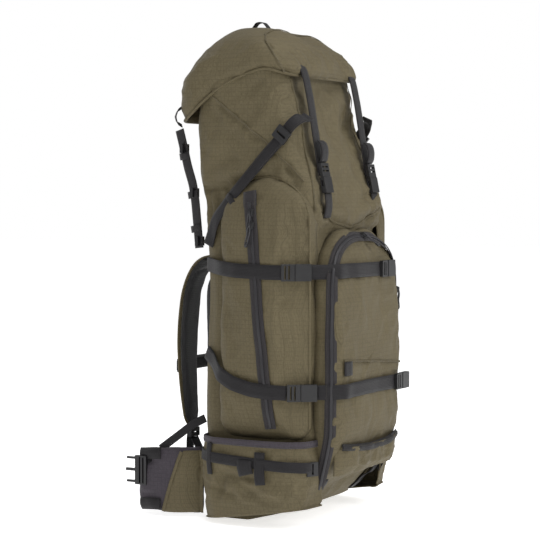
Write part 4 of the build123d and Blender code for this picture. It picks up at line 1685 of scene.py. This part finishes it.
def swell(bm: bmesh.types.BMesh, name: str, cap: float, pressure: float = 4.0) -> bmesh.types.BMesh:
    """Fill a closed pad with air by cloth simulation and hand its mesh back.

    Args:
        bm: The closed mesh, which is freed.
        name: The piece's name.
        cap: Largest move of a point, in millimetres.
        pressure: Air pressure.

    Returns:
        The swollen mesh.
    """
    last_frame = 14
    mesh = bpy.data.meshes.new(name + "_pattern")
    bm.to_mesh(mesh)
    bm.free()
    pad = bpy.data.objects.new(name + "_pattern", mesh)
    bpy.context.scene.collection.objects.link(pad)
    remesh = pad.modifiers.new("voxels", "REMESH")
    remesh.mode = "VOXEL"
    remesh.voxel_size = 0.005
    even = bpy.data.meshes.new_from_object(pad.evaluated_get(bpy.context.evaluated_depsgraph_get()))
    pad.modifiers.clear()
    pad.data = even
    start = [vert.co.copy() for vert in even.vertices]
    cloth = pad.modifiers.new("cloth", "CLOTH")
    cloth.settings.use_pressure = True
    cloth.settings.uniform_pressure_force = pressure
    cloth.settings.effector_weights.gravity = 0
    cloth.settings.quality = 4
    cloth.point_cache.frame_start, cloth.point_cache.frame_end = 1, last_frame
    for step in range(1, last_frame + 1):
        bpy.context.scene.frame_set(step)
    puffed = bpy.data.meshes.new_from_object(pad.evaluated_get(bpy.context.evaluated_depsgraph_get()))
    bpy.data.objects.remove(pad)
    bpy.context.scene.frame_set(1)
    made = bmesh.new()
    made.from_mesh(puffed)
    for vert, origin in zip(made.verts, start):
        move = vert.co - origin
        if move.length > cap / 1000:
            vert.co = origin + move.normalized() * (cap / 1000)
    bmesh.ops.smooth_vert(made, verts=made.verts, factor=0.5, use_axis_x=True, use_axis_y=True, use_axis_z=True)
    bmesh.ops.recalc_face_normals(made, faces=made.faces)
    for old in (mesh, even, puffed):
        bpy.data.meshes.remove(old)
    return made


@dataclass
class BackPads:
    """Mesh-covered back and lumbar pads with sewn channels."""

    bench: Bench

    def _pad(self, name: str, node: str, half: float, low: float, high: float, face: float, depth: float,
             channels: Sequence[Fold]) -> None:
        """Build one pad against the bag's back.

        Args:
            name: The piece's name.
            node: CAD node it stands for.
            half: Half width in millimetres.
            low: Lowest Z.
            high: Highest Z.
            face: Y of the pad's face.
            depth: Thickness.
            channels: Sewn channels.
        """
        def surface(turn: float, up: float) -> Vector:
            """Point of a flat closed cushion."""
            angle = -math.pi / 2 + math.pi * up
            share, height = power_curve(angle, 3.0)
            x, z = rounded_rectangle(turn, half, low, high, 30)
            if up in (0.0, 1.0):
                share = 0.0
            middle = (low + high) / 2
            return mm(x * share, face - depth / 2 + height * depth / 2, middle + (z - middle) * share)

        bm = mapped_grid(surface, 110, 40)
        bmesh.ops.recalc_face_normals(bm, faces=bm.faces)
        bm = swell(bm, name, 4)
        crease(bm, channels)
        pad = self.bench.finish(bm, name, "mesh", "pack", (node,), subdivide=1)

    def build(self) -> None:
        """Build both pads."""
        channels = [
            Fold((-44, 132, 160), (-44, 132, 420), -4, 5), Fold((44, 132, 160), (44, 132, 420), -4, 5),
            Fold((-100, 132, 250), (100, 132, 250), -2.4, 4), Fold((-100, 132, 340), (100, 132, 340), -2.4, 4),
        ]
        self._pad("back_pad_cushion", "back_pad", 110, 146, 436, 137, 25, channels)
        channels = [Fold((-50, 144, 48), (50, 144, 48), -3.6, 5), Fold((-50, 144, 104), (50, 144, 104), -3.6, 5)]
        self._pad("lumbar_pad_cushion", "lumbar_pad", 58, 19, 133, 142, 28, channels)


@dataclass
class ShoulderStrap:
    """Padded shoulder strap: mesh lining, olive face and webbing down its face."""

    bench: Bench
    side: str
    middle: float = 78.0
    path: tuple[tuple[float, float], ...] = ((116, 462), (136, 459), (154, 446), (169, 420), (178, 392), (184, 345),
                                             (186, 300), (185, 250), (182, 210), (178, 180), (174, 154))

    def _sweep(self, shift: float, thick: float, grow: float) -> bmesh.types.BMesh:
        """Sweep a flat rounded section down the strap.

        Args:
            shift: Distance outwards of the section's middle.
            thick: Thickness.
            grow: Extra width.

        Returns:
            The mesh.
        """
        sign = SIDES[self.side]
        line = resample([mm(sign * self.middle, y, z) for y, z in self.path], 0.006, 6)
        last = len(line) - 1

        def surface(turn: float, along: float) -> Vector:
            """Point of the layer."""
            row = round(along * last)
            tangent = (line[min(row + 1, last)] - line[max(row - 1, 0)]).normalized()
            out = Vector((0, -tangent.z, tangent.y))
            share = row / last
            half = (31 - 8 * max(0.0, share - 0.55) / 0.45 + grow) / 1000
            end = min(1.0, 0.3 + 9 * share, 0.42 + 9 * (1 - share))
            across, up = power_curve(2 * math.pi * turn, 3.4)
            return line[row] + Vector((across * half * min(1.0, end + 0.2), 0, 0)) + out * (
                (shift + up * thick / 2 * end) / 1000)

        return close_up(mapped_grid(surface, 44, last))

    def build(self) -> None:
        """Build the layers and webbing."""
        bench, body = self.bench, f"shoulder_{self.side}"
        sign = SIDES[self.side]
        inner = swell(self._sweep(-1.6, 9.5, -1), f"shoulder_lining_{self.side}", 2.4)
        pad = bench.finish(inner, f"shoulder_strap_lining_{self.side}", "mesh", body,
                           (f"shoulder_strap_{self.side}",), subdivide=1)
        outer = self._sweep(3.6, 4.6, 0.6)
        bench.drape.add(body, outer)
        bench.finish(outer, f"shoulder_strap_face_{self.side}", "olive", body, subdivide=1)
        line = [(sign * self.middle, y + 6, z) for y, z in self.path[3:]]
        web = Ribbon([(sign * self.middle, 163, 452), *line], 24, facing(0, 1), 1.6, bench.drape, (body,), 0.4,
                     bridge=2, crown=0.3)
        bench.ribbon(web, f"shoulder_face_webbing_{self.side}", "webbing", body, stitch=True)
        x = sign * self.middle
        lower = [(x, 172, 133.4), (x, 166, 122), (x, 156, 104), (x, 138, 82), (x, 117, 60)]
        strip = Ribbon(lower, 24, facing(0, 1, -0.4), 1.6, rounds=3)
        bench.ribbon(strip, f"lower_shoulder_webbing_{self.side}", "webbing", "pack",
                     ("shoulder_webbing",) if sign < 0 else ())
        route = [(x, 177.5, 150), (x, 181, 130), (x, 181, 104), (sign * (self.middle + 2), 178, 84)]
        tail = Ribbon(route, 24, facing(0, 1), 1.6)
        bench.ribbon(tail, f"shoulder_webbing_tail_{self.side}", "webbing", body)


@dataclass
class SternumStrap:
    """Thin strap across the chest, on two sliders with a small buckle."""

    bench: Bench

    def build(self) -> None:
        """Build the webbing."""
        route = [(-89, 202.2, 262), (-40, 202.4, 261.2), (0, 202.4, 261), (40, 202.4, 261.2), (89, 202.2, 262)]
        self.bench.ribbon(Ribbon(route, 18, facing(0, 1), 1.3), "sternum_web", "webbing", "sternum",
                          ("sternum_webbing",))


@dataclass
class HipWing:
    """Padded hip belt wing with a seam, an olive root patch, webbing and loops."""

    bench: Bench
    side: str
    plan: tuple[tuple[float, float], ...] = ((122, 126), (134, 142), (146, 160), (151, 180), (152.5, 205), (151, 244))
    lows: tuple[tuple[float, float], ...] = ((0, 4), (0.4, 4), (0.75, 6), (1, 14))
    highs: tuple[tuple[float, float], ...] = ((0, 126), (0.4, 126), (0.75, 124), (1, 116))
    half_thick: float = 11.5
    patch_y: float = 119.0

    def build(self) -> None:
        """Build the wing and what is sewn on it."""
        bench, sign = self.bench, SIDES[self.side]
        body = f"hip_{self.side}"
        line = resample([mm(sign * x, y, 0) for x, y in self.plan], 0.004, 6)
        last = len(line) - 1

        def surface(turn: float, along: float) -> Vector:
            """Point of the padded wing."""
            row = round(along * last)
            share = row / last
            tangent = (line[min(row + 1, last)] - line[max(row - 1, 0)]).normalized()
            out = Vector((tangent.y, -tangent.x, 0)) * -sign
            low, high = ramp(self.lows, share), ramp(self.highs, share)
            end = min(1.0, 0.5 + 8 * share, (1.0001 - share) * 7 + 0.25)
            across, up = power_curve(2 * math.pi * turn, 2.5)
            tall = (high - low) / 2 * (0.94 + 0.06 * end)
            rise = Vector((0, 0, ((low + high) / 2 + up * tall) / 1000))
            return line[row] + out * (across * self.half_thick * end / 1000) + rise

        bm = swell(close_up(mapped_grid(surface, 64, last)), f"hip_{self.side}", 2.6)
        for vert in bm.verts:
            vert.co.z = max(vert.co.z, 0.0025)
        marks = [
            Fold((160, 262, 67), (134, 150, 64), -3.4, 4.5), Fold((144, 262, 67), (122, 160, 64), -2.4, 4.5),
            Fold((160, 236, 38), (150, 196, 36), -4.2, 4.0), Fold((160, 236, 96), (150, 196, 98), -4.2, 4.0),
            Crumple(2.0, (30, 30, 24), seed=30),
        ]
        crease(bm, marks if sign > 0 else mirrored(marks))
        bench.drape.add(body, bm)
        wing = bench.finish(bm, f"hip_wing_pad_{self.side}", "charcoal", None, (f"hip_wing_{self.side}",), subdivide=1)
        start, end = (sign * 0.120, 0.122, 0.064), (sign * 0.140, 0.150, 0.064)
        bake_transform(wing)
        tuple(start)
        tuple(end)
        self._patch(sign, body, start, end)
        self._webbing(sign, body)

    def _patch(self, sign: int, body: str, start: Sequence[float], end: Sequence[float]) -> None:
        """Olive panel over the wing's root."""
        drape = self.bench.drape

        def surface(across: float, along: float) -> Vector:
            """Point of the panel, laid on the wing."""
            z = 8 + 110 * along
            y = self.patch_y + (188 - 36 * along - self.patch_y) * across
            place = mm(sign * 150, y, z)
            out = Vector((sign, 0, 0))
            found = drape.lift(place, out, (body,), 0.05)
            return place + out * ((found if found is not None else -0.012) + 0.0004)

        bm = mapped_grid(surface, 24, 30, weld=False)
        face_away(bm, mm(0, 160, 60))
        patch = self.bench.finish(bm, f"hip_root_panel_{self.side}", "olive", None, thickness=1.2, outward=True)
        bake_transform(patch)
        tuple(start)
        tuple(end)
        route = beside(sign, (150, 187, 9), (150, 170, 64), (150, 153, 117))
        edge = Ribbon(route, 6, facing(sign, 0), 0.8, drape, (body,), 1.4, bridge=1, crown=0.5)
        strip = self.bench.ribbon(edge, f"hip_root_binding_{self.side}", "olive", body)

    def _webbing(self, sign: int, body: str) -> None:
        """Belt webbing, two ladder loops and the stabiliser strap."""
        bench = self.bench
        route = beside(sign, (158, 208, 80), (161.4, 218, 80), (161.6, 239, 80))
        web = Ribbon(route, 44, facing(sign, 0), 1.7, crown=0.3)
        bench.ribbon(web, f"hip_webbing_{self.side}_web", "webbing", body, (f"hip_webbing_{self.side}",), stitch=True)
        for word, z in (("upper", 112), ("lower", 22)):
            route = beside(sign, (150, 196, z), (154, 208, z), (152, 222, z - 2), (150, 234, z - 3))
            loop = Ribbon(route, 20, facing(sign, 0), 1.5, bench.drape, (body,), 1.0, bridge=2, crown=2.2)
            bench.ribbon(loop, f"hip_{word}_loop_{self.side}", "webbing", body)
        route = beside(sign, (150, 200, 118), (146, 168, 142), (139, 140, 164), (132, 118, 176))
        lift = Ribbon(route, 15, facing(sign, 0.4), 1.5, rounds=2)
        strip = bench.ribbon(lift, f"hip_stabiliser_{self.side}", "webbing", None)
        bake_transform(strip)


# ------------------------------------------------------------------------------------------
# Moulded and metal parts
# ------------------------------------------------------------------------------------------


@dataclass
class Hardware:
    """CAD parts that keep their shape: buckles, locks, frame sheet, stays and cord."""

    bench: Bench
    plastics: tuple[str, ...] = (
        "plug_lid_left", "plug_lid_right", "plug_upper_left", "plug_upper_right", "plug_lower_left", "plug_lower_right",
        "lid_sockets", "compression_sockets", "ladder_locks", "rear_adjusters", "cord_lock", "sternum_sliders",
        "sternum_buckle", "shoulder_ladder_lock_left", "shoulder_ladder_lock_right", "hip_plug", "hip_socket",
    )
    others: tuple[tuple[str, str], ...] = (
        ("frame_sheet", "sheet"), ("frame_stays", "metal"), ("collar_drawcord", "cord"),
    )

    def build(self) -> None:
        """Give each part its finish and softened edges."""
        for node in self.plastics:
            self._dress(node, "plastic", 0.55)
        for node, finish in self.others:
            self._dress(node, finish, 0.0)

    def _dress(self, node: str, finish: str, bevel: float) -> None:
        """Dress one CAD part.

        Args:
            node: The CAD node.
            finish: The finish's name.
            bevel: Width of its softened edges in millimetres, or 0.
        """
        part = bpy.data.objects[node]
        material = self.bench.wardrobe.get(finish)
        if not part.material_slots:
            part.data.materials.append(material)
        for slot in part.material_slots:
            slot.material = material
        if bevel:
            weld = part.modifiers.new("weld", "WELD")
            weld.merge_threshold = 0.00002
            edges = part.modifiers.new("edges", "BEVEL")
            edges.width = bevel / 1000
            edges.segments = 2
            edges.limit_method = "ANGLE"
            edges.angle_limit = math.radians(38)
        log.info("%s: dressed", node)


# ------------------------------------------------------------------------------------------
# Studio
# ------------------------------------------------------------------------------------------


@dataclass
class Studio:
    """White floor and surroundings, soft lights and the camera."""

    azimuth: float = -62.0
    elevation: float = 2.6
    distance: float = 3.2
    lens: float = 118.5
    look_at: tuple[float, float, float] = (-0.0244, 0.0459, 0.436)
    surroundings: float = 0.36
    floor_glow: float = 0.68
    lights: tuple[tuple[str, tuple[float, float, float], float, float], ...] = (
        ("key", (0.5, -3.0, 2.2), 1.6, 50), ("side_fill", (-3.0, -1.0, 1.3), 2.0, 15),
        ("top", (-0.6, -0.6, 3.0), 1.4, 34), ("back_fill", (0.9, 2.8, 1.6), 2.2, 22),
    )

    def build(self) -> None:
        """Set up the studio."""
        bpy.context.scene.view_settings.view_transform = "Standard"
        self._world()
        self._floor()
        for name, place, size, power in self.lights:
            self._light(name, place, size, power)
        self._camera()

    def _world(self) -> None:
        """Surround the scene with white that looks brighter than it lights."""
        world = bpy.data.worlds.new("white_surroundings")
        world.use_nodes = True
        tree = world.node_tree
        seen, lit = tree.nodes["Background"], tree.nodes.new("ShaderNodeBackground")
        for node, strength in ((seen, 1.0), (lit, self.surroundings)):
            node.inputs[0].default_value = (1, 1, 1, 1)
            node.inputs[1].default_value = strength
        path = tree.nodes.new("ShaderNodeLightPath")
        choice = tree.nodes.new("ShaderNodeMixShader")
        tree.links.new(path.outputs["Is Camera Ray"], choice.inputs[0])
        tree.links.new(lit.outputs[0], choice.inputs[1])
        tree.links.new(seen.outputs[0], choice.inputs[2])
        tree.links.new(choice.outputs[0], tree.nodes["World Output"].inputs[0])
        bpy.context.scene.world = world

    def _floor(self) -> None:
        """Lay a white floor that glows faintly, so that no horizon shows."""
        bm = bmesh.new()
        bmesh.ops.create_grid(bm, x_segments=1, y_segments=1, size=14)
        mesh = bpy.data.meshes.new("studio_floor")
        bm.to_mesh(mesh)
        bm.free()
        floor = bpy.data.objects.new("studio_floor", mesh)
        bpy.context.scene.collection.objects.link(floor)
        sketch = NodeSketch("white_paper")
        for name, value in (
            ("Base Color", (0.93, 0.93, 0.93, 1)), ("Roughness", 1.0), ("Specular IOR Level", 0.0),
            ("Emission Color", (1, 1, 1, 1)), ("Emission Strength", self.floor_glow),
        ):
            sketch.shader.inputs[name].default_value = value
        mesh.materials.append(sketch.material)

    def _light(self, name: str, place: Sequence[float], size: float, power: float) -> None:
        """Add a soft area light aimed at the bag.

        Args:
            name: The light's name.
            place: Where it stands.
            size: Its side in metres.
            power: Its power in watts.
        """
        data = bpy.data.lights.new(name, "AREA")
        data.size = size
        data.energy = power
        lamp = bpy.data.objects.new(name, data)
        lamp.location = place
        lamp.rotation_euler = (Vector(place) - Vector((0, 0, 0.42))).to_track_quat("Z", "Y").to_euler()
        bpy.context.scene.collection.objects.link(lamp)

    def _camera(self) -> None:
        """Add the camera."""
        turn, rise = math.radians(self.azimuth), math.radians(self.elevation)
        back = Vector((math.sin(turn) * math.cos(rise), -math.cos(turn) * math.cos(rise), math.sin(rise)))
        data = bpy.data.cameras.new("camera")
        data.lens = self.lens
        data.sensor_width = 36
        camera = bpy.data.objects.new("camera", data)
        camera.location = Vector(self.look_at) + back * self.distance
        camera.rotation_euler = back.to_track_quat("Z", "Y").to_euler()
        bpy.context.scene.collection.objects.link(camera)
        bpy.context.scene.camera = camera


def main() -> None:
    """Build the backpack in order."""
    Studio().build()
    bench = Bench(Wardrobe())
    BagBody(bench).build()
    for side in SIDES:
        SidePocket(bench, side).build()
        BottlePocket(bench, side).build()
    FrontPocket(bench).build()
    Lid(bench).build()
    BagWebbing(bench).build()
    BackPads(bench).build()
    for side in SIDES:
        ShoulderStrap(bench, side).build()
        HipWing(bench, side).build()
    SternumStrap(bench).build()
    Hardware(bench).build()


if __name__ == "__main__":
    main()
